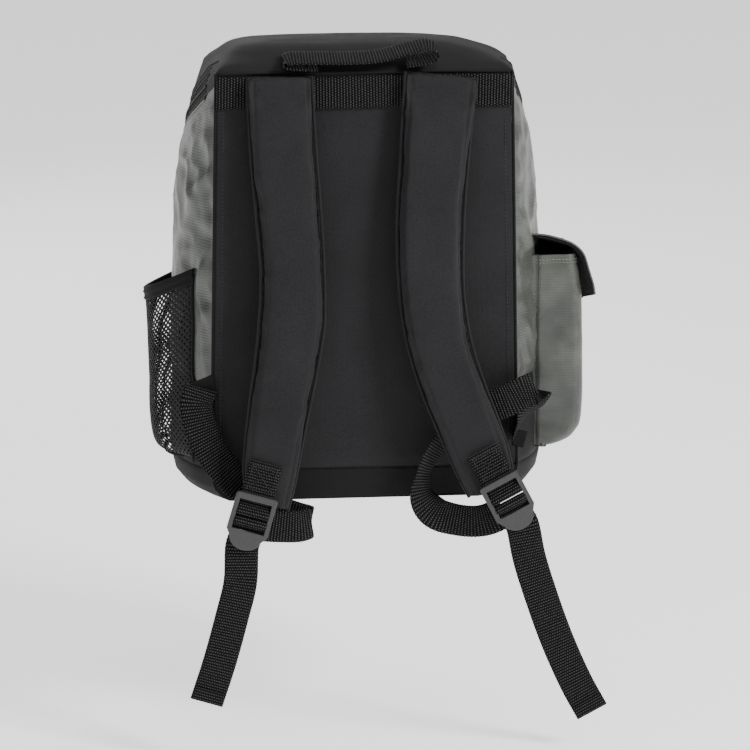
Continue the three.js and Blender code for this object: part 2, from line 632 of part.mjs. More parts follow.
function buildAnchorWing(side, sign) {
  const points = side === 'left' ? [[-160, 107], [-136, 117], [-131, 96], [-148, 94]]
    : [[154, 60], [132, 64], [131, 42], [148, 40]];
  const ordered = sign < 0 ? points : [...points].reverse();
  const outline = ordered.map(([x, z]) => new THREE.Vector2(x, z));
  addNode(`anchor_wing_${side}`, slabY(outline, -2, -0.4), 'black');
}

function buildStraps() {
  SIDES.forEach(([side, sign]) => {
    const stations = PADS[side];
    const front = PAD_THICK - 3;
    addNode(`shoulder_pad_${side}`, padGeometry(stations, PAD_END_TURN[side], front, -3 + GAP),
      'charcoal');
    addNode(`pad_lining_${side}`, padGeometry(stations, PAD_END_TURN[side], -3, -3 - PAD_LINING), 'mesh');
    buildLock(side);
    buildLockWebbing(side);
    buildTail(side);
    buildLowerWebbing(side);
    buildAnchorWing(side, sign);
  });
}

const frontOfBack = buildBack();
buildPanels(frontOfBack);
buildMainSliders();
buildFrontPocket();
buildFlapPocket();
buildMeshPocket();
buildHandle();
buildStraps();

export default group;
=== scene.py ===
import math

import bmesh
import bpy
import numpy as np
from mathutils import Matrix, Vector
from mathutils.bvhtree import BVHTree


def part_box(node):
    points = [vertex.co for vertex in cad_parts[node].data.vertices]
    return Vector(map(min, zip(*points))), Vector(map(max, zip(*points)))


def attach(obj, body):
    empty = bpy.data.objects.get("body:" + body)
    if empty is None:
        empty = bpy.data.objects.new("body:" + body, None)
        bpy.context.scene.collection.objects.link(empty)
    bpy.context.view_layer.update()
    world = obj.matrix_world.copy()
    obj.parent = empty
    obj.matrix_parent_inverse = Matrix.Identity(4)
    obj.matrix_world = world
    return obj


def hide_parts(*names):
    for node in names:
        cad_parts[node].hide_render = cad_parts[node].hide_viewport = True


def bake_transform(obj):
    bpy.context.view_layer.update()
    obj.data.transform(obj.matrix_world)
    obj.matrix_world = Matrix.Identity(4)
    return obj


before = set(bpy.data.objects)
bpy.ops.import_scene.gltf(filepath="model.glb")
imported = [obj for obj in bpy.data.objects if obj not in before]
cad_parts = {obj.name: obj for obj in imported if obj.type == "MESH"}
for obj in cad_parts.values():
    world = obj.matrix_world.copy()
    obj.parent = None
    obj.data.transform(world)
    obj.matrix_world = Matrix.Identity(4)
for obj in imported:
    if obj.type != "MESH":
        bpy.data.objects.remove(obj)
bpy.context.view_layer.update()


# ---------- driving dimensions, in millimetres, with z = 0 under the base ----------
MM = 0.001
ORIGIN_HEIGHT = 200
BACK_HEIGHT = 386
TOP_HALF_WIDTH = 130
BASE_HALF_WIDTH = 138
SIDE_BULGE = 33
WAIST = 200  # above it the sides and the front draw in
BODY_DEPTH = 168
TOP_DEPTH_LOSS = 30
BASE_TRAY = 28
BAND_TOP = 105
FRONT_HALF_WIDTH = 100
HOOD_SLOPE = math.radians(27.4)
TAPE = 9
HINGE_Y = 28
YOKE_BOTTOM = 354
YOKE_TOP = 382
FABRIC = 2.0  # thickness of a lined fabric wall
RIB = 2.6  # from one rib of the webbing to the next
TOOTH_PITCH = 1.9
STITCH_PITCH = 3.4
PIPING = 1.3
FAR = 320  # further from the middle than any part of the bag

# Levels of the bag's form: height, then the inset on the right, left, front and back.
LEVELS = [(0, 20, 20, 12, 0), (4, 11, 11, 6, 0), (12, 4, 4, 2, 0), (28, 0, 0, 0, 0), (386, 0, 0, 0, 0)]
DOME = [
    (386, 0, 0, 0, 0), (391, 7, 5, 5, 7), (395, 15, 10, 10, 14), (401, 31, 17, 20, 25),
    (405.5, 50, 27, 32, 36), (408.5, 80, 52, 48, 50),
]
DOME_MIDDLE = (-8, 71, 409.6)
ARC_STEPS = 270
REAR_STEPS = 64

FRONT_POCKET = {"half": 92, "bottom": 46, "top": 244, "radius": 34, "tape": 180, "door": 190}
FRONT_MIDDLE = 140.0
SIDE_POCKET = {"back": 38, "front": 122, "top": 212}
EDGE_SEAM = 160.8
POCKET_CORNER = 9
SIDE_POCKET_LEVELS = [
    (36, 176), (42, 189), (52, 199), (64, 201.5), (120, 202), (173, 200.7), (212, 195.5),
]
FLAP_LINE = [
    (150, 230), (166, 229), (184, 224), (193, 219.5), (201, 212), (208, 197), (213.5, 184), (216, 174),
]
FLAP_ROOT = 229
NET_LEVELS = [(30, 172), (36, 184), (50, 188.5), (110, 190), (170, 192), (215, 195.5)]
NET_RIM = {"height": 208, "start": 151, "slope": 0.42, "back": 26, "fall": 0.16, "binding": 12}
NET_BASE = 31
NET_TALL = 168
NET_WIDTH = 190  # how far out the net's usual outline reaches
NET_SEAM_X = 139.6
NET_SEAM_YS = (26.3, 139.6)
NET_CELL = 3.1
HANDLE = [
    (-42, 392), (-56, 392.5), (-67, 393.4), (-71, 395.4), (-67, 397.6), (-50, 398), (-19, 397.5),
    (12, 399), (38, 405.5), (54, 408), (62, 405), (62, 400), (53, 396.5), (36, 394),
]
HANDLE_TILT = math.radians(18)

# Each station of a pad: across, out from the back, height and half width.
PADS = {
    "left": [
        (-75, -10, 383, 28), (-74.5, -14, 354, 28.5), (-72.5, -19, 311, 28.7), (-69, -23, 263, 28.5),
        (-66.1, -26, 215, 27.8), (-67, -29, 171, 29), (-71.8, -32, 135, 28), (-78, -34.5, 100, 27),
        (-83.5, -37, 67, 25.5), (-87.5, -38.5, 38, 24), (-91, -39, 8, 21),
    ],
    "right": [
        (66.3, -10, 383, 32), (63, -14, 352, 31), (59, -19, 305, 30), (55.6, -23, 252, 29.8),
        (57, -26, 190, 28.5), (64, -29, 145, 28), (74.5, -32, 110, 27.5), (87, -34.5, 78, 27),
        (98.5, -37, 48, 26), (105, -38.5, 28, 24), (108, -39, 12, 19),
    ],
}
PAD_END_TURN = {"left": math.radians(-24), "right": math.radians(12)}
PAD_RINGS = 110
PAD_FRONT = 6
PAD_BACK = 2.7
PAD_LINING_DEPTH = 5
PAD_INFLATION = 2.5  # the furthest that the simulation moves a point of a pad

# Where a ladder lock's top bar is, and how far the lock leans.
LOCKS = {
    "left": ((-100.6, -52, 14.9), math.radians(16.7)),
    "right": ((114.8, -52, 24.6), math.radians(-27.9)),
}
LOCK = {
    "half": 18.5, "rail": 3.6, "top": 3, "top_bar": 4.5, "window_end": -30.5, "bottom": -36,
    "lip": 11, "thick": 4.5, "bevel": 0.8,
}
LOCK_BARS = {"hold": (-13.5, 1.5), "grip": (-22, 1.6)}  # height and radius
PATCH_LOOP = [
    (32, -6.4), (20, -6.2), (9, -4.6), (1, -3.6), (-3, -3.2), (-8, -0.2), (-11.3, 2.1), (-13.5, 2.7),
    (-15.9, 1.6), (-16.1, -1.2), (-13.5, -3), (-6, -4.6), (2, -5.6),
]
GRIP_LOOP = [
    (-18.2, -0.6), (-19.8, 2.0), (-22, 2.9), (-26, 0.6), (-28.6, -2.6), (-32, -3.8), (-36.8, -3.8),
]
TAIL_START = [(-38, -3.8), (-46, -4)]
TAILS = {
    "left": [(-115.6, -48, -61.6), (-123.4, -47, -94.5), (-134.9, -46, -136.8), (-146.8, -45, -173.7)],
    "right": [
        (142.6, -48, -45.6), (154.4, -47, -83.6), (170, -46, -126.6), (187.1, -45, -165.3),
        (202.3, -44, -193.7),
    ],
}

# Each stop of the slack lower webbing: its place, then the direction of its width.
LOWER_WEBBING = {
    "left": [
        ((-147, -5.5, 106), (0.93, 0, 0.37)), ((-151, -8, 92), (0.98, 0, 0.2)),
        ((-148, -12, 72), (0.97, 0, -0.2)), ((-138, -15, 50), (0.9, 0, -0.43)),
        ((-124, -18, 30), (0.82, 0, -0.57)), ((-106, -20, 11), (0.72, 0, -0.69)),
        ((-84, -22, -3), (0.45, 0, -0.89)), ((-63, -25, -10), (0.15, 0, -0.99)),
        ((-51, -30.5, -13), (0, 0, -1)), ((-60, -36, -15), (0, 0, -1)),
        ((-82, -40, -14), (0.1, 0.1, -0.98)), ((-101, -43.5, -11), (0.3, 0.1, -0.95)),
        ((-114, -45.5, -9), (0.3, 0.1, -0.95)), ((-122, -46, -7), (0.3, 0.1, -0.95)),
    ],
    "right": [
        ((134, -2, 54), (-0.15, -0.98, 0.1)), ((141, -4, 70), (-0.3, -0.93, 0.2)),
        ((149, -8, 87), (-0.7, -0.45, 0.55)), ((152, -12, 100), (-0.69, 0, 0.72)),
        ((143, -17, 99), (-0.5, 0, 0.86)), ((128, -18, 92), (-0.37, 0, 0.93)),
        ((106, -18, 83), (-0.42, 0, 0.9)), ((82, -18, 68), (-0.5, -0.3, 0.8)),
        ((62, -19, 48), (-0.5, -0.75, 0.45)), ((50, -22, 26), (-0.45, -0.8, 0.3)),
        ((49, -25, 6), (-0.75, -0.6, -0.25)), ((60, -28, -8), (-0.5, -0.2, -0.85)),
        ((78, -31, -14), (-0.2, 0, -0.98)), ((98, -35, -15), (0, 0, -1)),
        ((111, -38, -11), (-0.2, 0, -0.97)), ((121, -40.5, -4), (-0.4, 0, -0.9)),
    ],
}
ANCHOR_WINGS = {
    "left": [(-160, 107), (-136, 117), (-131, 96), (-148, 94)],
    "right": [(147, 58), (134, 61), (133, 46), (143, 43)],
}
SIDES = {"left": -1, "right": 1}

# Ridges of the side fabric: which side, start and end as (y, z), width and height.
FOLDS = [
    (-1, (2, 240), (58, 104), 5.5, 6.5), (-1, (0, 158), (34, 200), 6.0, 4.0),
    (-1, (2, 304), (40, 262), 6.5, 3.5), (1, (2, 262), (40, 206), 6.0, 4.2),
    (1, (2, 172), (40, 116), 6.0, 3.6),
]


# ---------- numbers ----------
def unit(vectors):
    vectors = np.asarray(vectors, float)
    return vectors / np.maximum(np.linalg.norm(vectors, axis=-1, keepdims=True), 1e-12)


def smooth_step(x, low, high):
    t = np.clip((x - low) / (high - low), 0, 1)
    return t * t * (3 - 2 * t)


def join(*parts):
    """Arrays or numbers side by side, along a new last axis."""
    return np.stack(np.broadcast_arrays(*parts), axis=-1)


def read_off(at, stops, rows):
    """Rows of a table, read off between its stops."""
    return join(*[np.interp(at, stops, column) for column in rows.T])


NOISE_TABLE = np.random.default_rng(11).uniform(-1, 1, 8192)


def noise(points, size, seed=0):
    """Smooth noise from -1 to 1 at each point, with bumps about size apart."""
    place = np.asarray(points, float) / size
    cell = np.floor(place).astype(np.int64)
    part = place - cell
    part = part * part * (3 - 2 * part)
    total = np.zeros(place.shape[:-1])
    for corner in np.ndindex(2, 2, 2):
        at = cell + np.array(corner)
        key = at[..., 0] * 73856093 ^ at[..., 1] * 19349663 ^ at[..., 2] * 83492791 ^ seed * 40503
        weight = np.prod(np.where(np.array(corner) == 1, part, 1 - part), axis=-1)
        total += NOISE_TABLE[key % len(NOISE_TABLE)] * weight
    return total


def curve(points, steps=12):
    """A centripetal Catmull-Rom line through points: its places, and how many stops along each is."""
    stops = np.asarray(points, float)
    padded = np.vstack([2 * stops[0] - stops[1], stops, 2 * stops[-1] - stops[-2]])
    gaps = np.sqrt(np.linalg.norm(np.diff(padded, axis=0), axis=1))
    places = []
    for i in range(len(stops) - 1):
        a, b, c, d = padded[i:i + 4]
        g0, g1, g2 = gaps[i:i + 3]
        leave = ((b - a) / g0 - (c - a) / (g0 + g1) + (c - b) / g1) * g1
        enter = ((c - b) / g1 - (d - b) / (g1 + g2) + (d - c) / g2) * g1
        t = (np.arange(steps) / steps)[:, None]
        curved = (2 * b - 2 * c + leave + enter) * t ** 3
        places.append(curved + (3 * c - 3 * b - 2 * leave - enter) * t ** 2 + leave * t + b)
    places.append(stops[-1:])
    return np.vstack(places), np.linspace(0, len(stops) - 1, steps * (len(stops) - 1) + 1)


def running(gaps):
    """The running total of gaps, from 0."""
    return np.concatenate([[0], np.cumsum(gaps)])


def along(places):
    """Distance along a line of places."""
    return running(np.linalg.norm(np.diff(places, axis=0), axis=1))


def resample(places, count):
    """The same line as count + 1 evenly spaced places."""
    length = along(places)
    return read_off(np.linspace(0, length[-1], count + 1), length, places)


def even_curve(stops, step=RIB / 4, count=None):
    """A curve through stops at even distances: the distances, its places, and its stop numbers."""
    line, stop = curve(stops)
    length = along(line)
    at = np.linspace(0, length[-1], (count or max(int(length[-1] / step), 8)) + 1)
    return at, read_off(at, length, line), np.interp(at, length, stop)


def tangents(places):
    return unit(np.gradient(places, axis=0))


def valley(distance, depth=1.2, width=2.4):
    return -depth * np.exp(-(distance / width) ** 2)


# ---------- meshes ----------
def to_metres(places):
    return (np.asarray(places, float) - (0, 0, ORIGIN_HEIGHT)) * MM


def point(x, y, z):
    """A place in the row frame, in metres."""
    return tuple(to_metres((x, y, z)))


def add_object(name, data):
    obj = bpy.data.objects.new(name, data)
    bpy.context.scene.collection.objects.link(obj)
    return obj


def make(name, places, faces, material, corner_uvs=None):
    """A mesh object from places in millimetres. corner_uvs has one pair for each face corner."""
    mesh = bpy.data.meshes.new(name)
    places = np.asarray(places, float).reshape(-1, 3)
    mesh.from_pydata(to_metres(places).tolist(), [], [list(map(int, face)) for face in faces])
    layer = mesh.uv_layers.new(name="UVMap")
    if corner_uvs is not None:
        layer.data.foreach_set("uv", (np.asarray(corner_uvs, float) * MM).ravel())
    mesh.materials.append(material)
    mesh.shade_smooth()
    return add_object(name, mesh)


def read(vertices, key="co"):
    """One flat array of a value that each vertex has."""
    values = np.empty(len(vertices) * 3)
    vertices.foreach_get(key, values)
    return values


def grid_cells(rows, columns, wrap=False):
    """Corner numbers of a grid's cells, twice: the second time the last column stays apart from
    the first. With wrap, the last column joins the first."""
    wide = columns if wrap else columns - 1
    r, c = np.meshgrid(np.arange(rows - 1), np.arange(wide), indexing="ij")
    r, c = r.ravel(), c.ravel()

    def corners(size, after):
        return np.stack([r * size + c, r * size + after, (r + 1) * size + after, (r + 1) * size + c], axis=1)

    return corners(columns, (c + 1) % columns), corners(columns + 1 if wrap else columns, c + 1)


def finish_mesh(obj, *modifiers):
    """Adds modifiers, given as (type, settings), and applies them."""
    for kind, settings in modifiers:
        modifier = obj.modifiers.new(kind.title(), kind)
        for key, value in settings.items():
            setattr(modifier, key, value)
    graph = bpy.context.evaluated_depsgraph_get()
    applied = bpy.data.meshes.new_from_object(obj.evaluated_get(graph))
    obj.modifiers.clear()
    obj.data = applied
    return obj


def rework(mesh, merge=0.0, bridge=False, turn=True):
    """Merges doubled vertices, closes the open rims of a sheet, and turns every face outwards."""
    work = bmesh.new()
    work.from_mesh(mesh)
    if merge:
        bmesh.ops.remove_doubles(work, verts=work.verts, dist=merge * MM)
    if bridge:
        rim = [edge for edge in work.edges if len(edge.link_faces) == 1]
        bmesh.ops.bridge_loops(work, edges=rim)
    if turn:
        bmesh.ops.recalc_face_normals(work, faces=work.faces)
    work.to_mesh(mesh)
    work.free()


def thicken(obj, thick):
    """Gives a sheet its thickness, towards the inside."""
    solid = {"thickness": thick * MM, "offset": -1, "use_rim": True, "use_even_offset": False}
    finish_mesh(obj, ("SOLIDIFY", solid))
    obj.data.shade_smooth()
    return obj


def sheet(name, places, material, thick=FABRIC, uv=None, wrap=False, flip=False, merge=0.0):
    """A fabric panel through a grid of places. Its thickness goes to the inside."""
    places = np.asarray(places, float)
    cells, unwrapped = grid_cells(*places.shape[:2], wrap)
    if uv is None:
        uv = grid_uv(places, wrap)
    if flip:
        cells, unwrapped = cells[:, ::-1], unwrapped[:, ::-1]
    obj = make(name, places, cells, material, uv.reshape(-1, 2)[unwrapped.ravel()])
    if merge:
        rework(obj.data, merge, turn=False)
    return thicken(obj, thick)


def grid_uv(places, wrap=False):
    """Distances across and up a grid, so that a weave keeps its scale."""
    if wrap:
        places = np.concatenate([places, places[:, :1]], axis=1)
    across = np.linalg.norm(np.diff(places, axis=1), axis=2).mean(axis=0)
    up = np.linalg.norm(np.diff(places, axis=0), axis=2).mean(axis=1)
    return np.stack(np.meshgrid(running(across), running(up)), axis=2)


def loft(name, rings, material, lengthwise=None, closed=False):
    """A body through rings of equal length. It has flat ends, or closed joins it to its start."""
    rings = np.asarray(rings, float)
    if closed:
        rings = np.concatenate([rings, rings[:1]])
    count, size = rings.shape[:2]
    cells, unwrapped = grid_cells(count, size, wrap=True)
    uv = grid_uv(rings, wrap=True)
    if lengthwise is not None:
        uv[..., 1] = np.asarray(lengthwise)[:, None]
    faces, corner_uvs = cells.tolist(), uv.reshape(-1, 2)[unwrapped.ravel()]
    if not closed:
        last = [(count - 1) * size + i for i in range(size)]
        faces += [list(range(size))[::-1], last]
        corner_uvs = np.vstack([corner_uvs, uv[0, :size][::-1], uv[-1, :size]])
    obj = make(name, rings, faces, material, corner_uvs)
    rework(obj.data, 0.01 if closed else 0)
    obj.data.shade_smooth()
    return obj


def ribbon(name, stops, material, width=30, thick=1.6, relief=0.35, columns=11):
    """Ribbed webbing along a route. Each stop is a place and the direction of the width."""
    at, centre, which = even_curve([place for place, _ in stops])
    widths = np.array([across for _, across in stops], float)
    side = read_off(which, np.arange(len(stops)), widths)
    forward = tangents(centre)
    side = unit(side - forward * (side * forward).sum(axis=1, keepdims=True))
    out = np.cross(forward, side)
    rise = relief * np.cos(2 * np.pi * at / RIB)
    c = np.linspace(-1, 1, columns)
    half_thick = thick / 2 * (0.45 + 0.55 * np.sqrt(1 - np.abs(c) ** 6))
    reach = (width / 2 + 0.2 * np.cos(2 * np.pi * at / RIB))[:, None] * c
    height = half_thick + rise[:, None] * (1 - np.abs(c) ** 8) / 2
    middle = centre[:, None] + side[:, None] * reach[..., None]
    lift = out[:, None] * height[..., None]
    return loft(name, np.concatenate([middle + lift, (middle - lift)[:, ::-1]], axis=1), material, at)


def tube(name, line, radius, material, sides=8, closed=False):
    """A round cord or piping through a line of places."""
    line = np.asarray(line, float)
    forward = tangents(line)
    if closed:
        forward = unit(np.roll(line, -1, axis=0) - np.roll(line, 1, axis=0))
    guide = np.where(np.abs(forward[:, 2:3]) < 0.9, [[0.0, 0.0, 1.0]], [[0.0, 1.0, 0.0]])
    across = unit(np.cross(forward, guide))
    up = np.cross(across, forward)
    turn = np.linspace(0, 2 * np.pi, sides, endpoint=False)
    rings = line[:, None] + radius * (across[:, None] * np.cos(turn)[None, :, None]
                                      + up[:, None] * np.sin(turn)[None, :, None])
    return loft(name, rings, material, closed=closed)


CUBE = np.array([[x, y, z] for x in (-1, 1) for y in (-1, 1) for z in (-1, 1)], float) / 2
CUBE_FACES = np.array([
    [0, 1, 3, 2], [4, 6, 7, 5], [0, 4, 5, 1], [2, 3, 7, 6], [0, 2, 6, 4], [1, 5, 7, 3],
])


def blocks(name, centres, axes, size, material):
    """Many small blocks in one mesh. axes holds three directions for each block."""
    local = CUBE * np.asarray(size, float)
    local[:, :2] *= np.where(local[:, 2:3] > 0, 0.7, 1.0)
    places = centres[:, None] + np.einsum("ck,nkd->ncd", local, axes)
    faces = (np.arange(len(centres)) * 8)[:, None, None] + CUBE_FACES[None]
    obj = make(name, places, faces.reshape(-1, 4), material)
    rework(obj.data)
    for polygon in obj.data.polygons:
        polygon.use_smooth = False
    return obj


def stitches(name, line, out, material, pitch=STITCH_PITCH, size=(2.3, 0.9, 0.7)):
    """A row of stitches along a line. out is one direction, or one for each place."""
    line = np.asarray(line, float)
    out = np.broadcast_to(np.asarray(out, float), line.shape)
    count = max(int(along(line)[-1] / pitch), 2)
    both = resample(np.hstack([line, out]), count)
    places, out = both[:, :3], unit(both[:, 3:])
    forward = tangents(places)
    side = unit(np.cross(out, forward))
    return blocks(name, places, np.stack([forward, side, out], axis=1), size, material)


def dress(obj, body, slot, *nodes):
    """Lets a piece ride on a body and hides the nodes it stands for. The slot argument is not used."""
    if nodes:
        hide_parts(*nodes)
    if body:
        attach(obj, body)
    return obj


def teeth(name, line, out, size, lift, body):
    """A row of zip teeth along a line."""
    forward = tangents(line)
    axes = np.stack([forward, np.cross(out, forward), out], axis=1)
    dress(blocks(name, line + out * lift, axes, size, TEETH), body, "zip_tape")


# ---------- materials ----------
class Finish:
    """A Principled material with a small set of node helpers."""

    def __init__(self, name, **constants):
        self.material = bpy.data.materials.new(name)
        self.material.use_nodes = True
        self.tree = self.material.node_tree
        self.shader = self.tree.nodes["Principled BSDF"]
        for socket, value in constants.items():
            self.shader.inputs[socket.replace("_", " ")].default_value = value
        self.uv = self.add("ShaderNodeTexCoord").outputs["UV"]
        self.space = self.add("ShaderNodeTexCoord").outputs["Object"]

    def add(self, kind, links=None, **settings):
        node = self.tree.nodes.new(kind)
        for key, value in settings.items():
            setattr(node, key, value)
        for socket, value in (links or {}).items():
            if isinstance(value, bpy.types.NodeSocket):
                self.tree.links.new(value, node.inputs[socket])
            else:
                node.inputs[socket].default_value = value
        return node

    def math(self, operation, a, b=0.0):
        return self.add("ShaderNodeMath", {0: a, 1: b}, operation=operation).outputs[0]

    def times(self, a, b):
        return self.math("MULTIPLY", a, b)

    def plus(self, a, b):
        return self.math("ADD", a, b)

    def split_uv(self):
        """Distances along u and v in millimetres."""
        parts = self.add("ShaderNodeSeparateXYZ", {0: self.uv})
        return [self.times(parts.outputs[k], 1 / MM) for k in (0, 1)]

    def wave(self, distance, pitch, shift=0.0):
        """A wave from 0 to 1 that repeats every pitch."""
        turn = self.plus(self.times(distance, 2 * math.pi / pitch), shift)
        return self.plus(self.times(self.math("COSINE", turn), 0.5), 0.5)

    def noise(self, size, detail=3.0):
        links = {"Vector": self.space, "Scale": 1 / (size * MM), "Detail": detail}
        return self.add("ShaderNodeTexNoise", links).outputs["Fac"]

    def ramp(self, value, stops):
        node = self.add("ShaderNodeValToRGB", {0: value})
        elements = node.color_ramp.elements
        for i, (position, colour) in enumerate(stops):
            element = elements[i] if i < 2 else elements.new(position)
            element.position = position
            element.color = (*colour, 1)
        return node.outputs["Color"]

    def mix(self, factor, a, b):
        node = self.add("ShaderNodeMix", data_type="RGBA", blend_type="MIX")
        for socket, value in ((0, factor), (6, a), (7, b)):
            if isinstance(value, bpy.types.NodeSocket):
                self.tree.links.new(value, node.inputs[socket])
            else:
                node.inputs[socket].default_value = (*value, 1) if socket else value
        return node.outputs[2]

    def finish(self, colour, height, depth, roughness=None):
        links = self.tree.links
        links.new(colour, self.shader.inputs["Base Color"])
        if roughness is not None:
            links.new(roughness, self.shader.inputs["Roughness"])
        bump = self.add("ShaderNodeBump", {"Strength": 0.8, "Distance": depth * MM, "Height": height})
        links.new(bump.outputs["Normal"], self.shader.inputs["Normal"])
        return self.material


def woven(name, dark, light, roughness, sheen, thread=1.1):
    """Plain woven polyester: crossing threads, with slightly uneven dye."""
    look = Finish(name, Sheen_Weight=sheen, Sheen_Roughness=0.5, Specular_IOR_Level=0.22)
    u, v = look.split_uv()
    threads = look.times(look.wave(u, thread), look.wave(v, thread))
    grain = look.noise(1.6, 4.0)
    dye = look.plus(look.times(grain, 0.7), look.times(look.noise(55, 2.0), 0.3))
    tone = look.plus(look.times(dye, 0.85), look.times(threads, 0.15))
    colour = look.ramp(tone, [(0.32, dark), (0.68, light)])
    height = look.plus(look.times(threads, 0.6), look.times(grain, 0.4))
    rough = look.add("ShaderNodeMapRange", {0: grain, 3: roughness - 0.08, 4: roughness + 0.06})
    return look.finish(colour, height, 0.25, rough.outputs[0])


def ripstop():
    """Coated grey-green ripstop: fine level ribs, fainter upright ones, a satin coating, and lighter
    blotches of painted highlight.
    """
    look = Finish("green_ripstop", Sheen_Weight=0.04, Coat_Weight=0.22, Coat_Roughness=0.26,
                  Specular_IOR_Level=0.5)
    u, v = look.split_uv()
    level = look.math("POWER", look.wave(v, 2.5), 4.0)
    upright = look.times(look.math("POWER", look.wave(u, 2.9), 5.0), 0.45)
    ribs = look.math("MAXIMUM", level, upright)
    grain = look.noise(1.2)
    # Broad noise blotches lighten the colour as painted highlights; the roughness follows the same noise.
    painted_highlight_patches = look.noise(30)
    base = look.ramp(painted_highlight_patches, [(0.36, (0.02, 0.0228, 0.019)), (0.66, (0.062, 0.069, 0.058))])
    ribbed = look.mix(look.times(ribs, 0.42), base, (0.016, 0.0185, 0.0155))
    colour = look.mix(look.times(grain, 0.25), ribbed, (0.095, 0.103, 0.088))
    height = look.plus(look.times(ribs, -0.6), look.times(grain, 0.3))
    rough = look.add("ShaderNodeMapRange", {0: painted_highlight_patches, 3: 0.36, 4: 0.52})
    return look.finish(colour, height, 0.35, rough.outputs[0])


def webbing_finish():
    """Black webbing: ribs across its length, each a row of small knots set against its neighbours."""
    look = Finish("webbing", Specular_IOR_Level=0.12, Roughness=0.72)
    u, v = look.split_uv()
    rib = look.wave(v, RIB)
    row = look.math("ROUND", look.math("DIVIDE", v, RIB))
    knots = look.wave(u, 2.2, look.times(row, math.pi))
    weave = look.times(rib, look.plus(look.times(knots, 0.65), 0.35))
    tone = look.times(weave, look.plus(look.times(look.noise(1.5), 1.1), 0.3))
    colour = look.ramp(tone, [(0.3, (0.0006, 0.0006, 0.0008)), (0.72, (0.055, 0.055, 0.055 * 1.02))])
    return look.finish(colour, weave, 0.9)


def tape_finish():
    """Zip tape: black polyester with fine cords along it."""
    look = Finish("zip_tape", Sheen_Weight=0.03, Specular_IOR_Level=0.25, Roughness=0.68)
    cords = look.wave(look.split_uv()[1], 1.6)
    tone = look.times(cords, look.noise(1.4))
    colour = look.ramp(tone, [(0.0, (0.0016, 0.0016, 0.002)), (0.6, (0.013, 0.013, 0.015))])
    return look.finish(colour, cords, 0.35)


def plain(name, dark, light, size, depth, **constants):
    """A moulded, cast or knitted finish whose tone and height follow one noise."""
    look = Finish(name, **constants)
    tone = look.noise(size, 4.0)
    return look.finish(look.ramp(tone, [(0.35, dark), (0.65, light)]), tone, depth)


def cellular(name, middle, rim, size, depth, **constants):
    """A finish of small cells. middle and rim are a distance from a cell's middle and a colour."""
    look = Finish(name, **constants)
    links = {"Vector": look.space, "Scale": 1 / (size * MM)}
    distance = look.add("ShaderNodeTexVoronoi", links).outputs["Distance"]
    return look.finish(look.ramp(distance, [middle, rim]), distance, depth)


CHARCOAL = woven("charcoal_fabric", (0.0065, 0.006, 0.007), (0.0175, 0.0165, 0.0185), 0.78, 0.05)
BLACK = woven("black_fabric", (0.0022, 0.0021, 0.0025), (0.0065, 0.006, 0.007), 0.8, 0.03)
# The hood's fabric is a darker copy of the back's charcoal, as painted shade against the top light on the
# upward-facing hood; the hood cords and pad piping share it.
SHADED_HOOD = woven("hood_fabric_painted_shade", (0.005, 0.0047, 0.0053), (0.0125, 0.0118, 0.013), 0.76, 0.04)
GREEN = ripstop()
WEBBING = webbing_finish()
TAPE_CLOTH = tape_finish()
NET = plain("net", (0.002, 0.002, 0.0024), (0.009, 0.009, 0.01), 2.0, 0.2, Roughness=0.62,
            Specular_IOR_Level=0.25)
PLASTIC = plain("moulded_plastic", (0.01, 0.01, 0.0115), (0.018, 0.018, 0.0195), 1.4, 0.05,
                Roughness=0.36, Specular_IOR_Level=0.6)
METAL = plain("zip_metal", (0.05, 0.05, 0.055), (0.11, 0.11, 0.12), 2.2, 0.05, Roughness=0.33,
              Metallic=0.9)
BOARD = plain("stiff_board", (0.05, 0.05, 0.052), (0.075, 0.075, 0.078), 3.0, 0.15, Roughness=0.6)
FOAM = plain("foam", (0.2, 0.21, 0.22), (0.3, 0.31, 0.32), 1.5, 0.3, Roughness=0.95)
VELCRO = cellular("hook_and_loop", (0.1, (0.012, 0.012, 0.013)), (0.7, (0.002, 0.002, 0.0025)),
                  1.3, 0.8, Roughness=0.95, Sheen_Weight=0.1, Specular_IOR_Level=0.1)
SPACER = cellular("spacer_mesh", (0.15, (0.0015, 0.0015, 0.002)), (0.5, (0.013, 0.013, 0.014)),
                  3.2, 1.0, Roughness=0.85, Sheen_Weight=0.06, Specular_IOR_Level=0.2)
THREAD_DARK = plain("dark_thread", (0.005, 0.005, 0.0055), (0.016, 0.016, 0.017), 0.8, 0.1,
                    Roughness=0.6)
THREAD_LIGHT = plain("light_thread", (0.17, 0.17, 0.11), (0.26, 0.26, 0.17), 0.8, 0.1, Roughness=0.6)
TEETH = plain("zip_teeth", (0.004, 0.004, 0.005), (0.012, 0.012, 0.013), 0.9, 0.05, Roughness=0.42,
              Specular_IOR_Level=0.35)


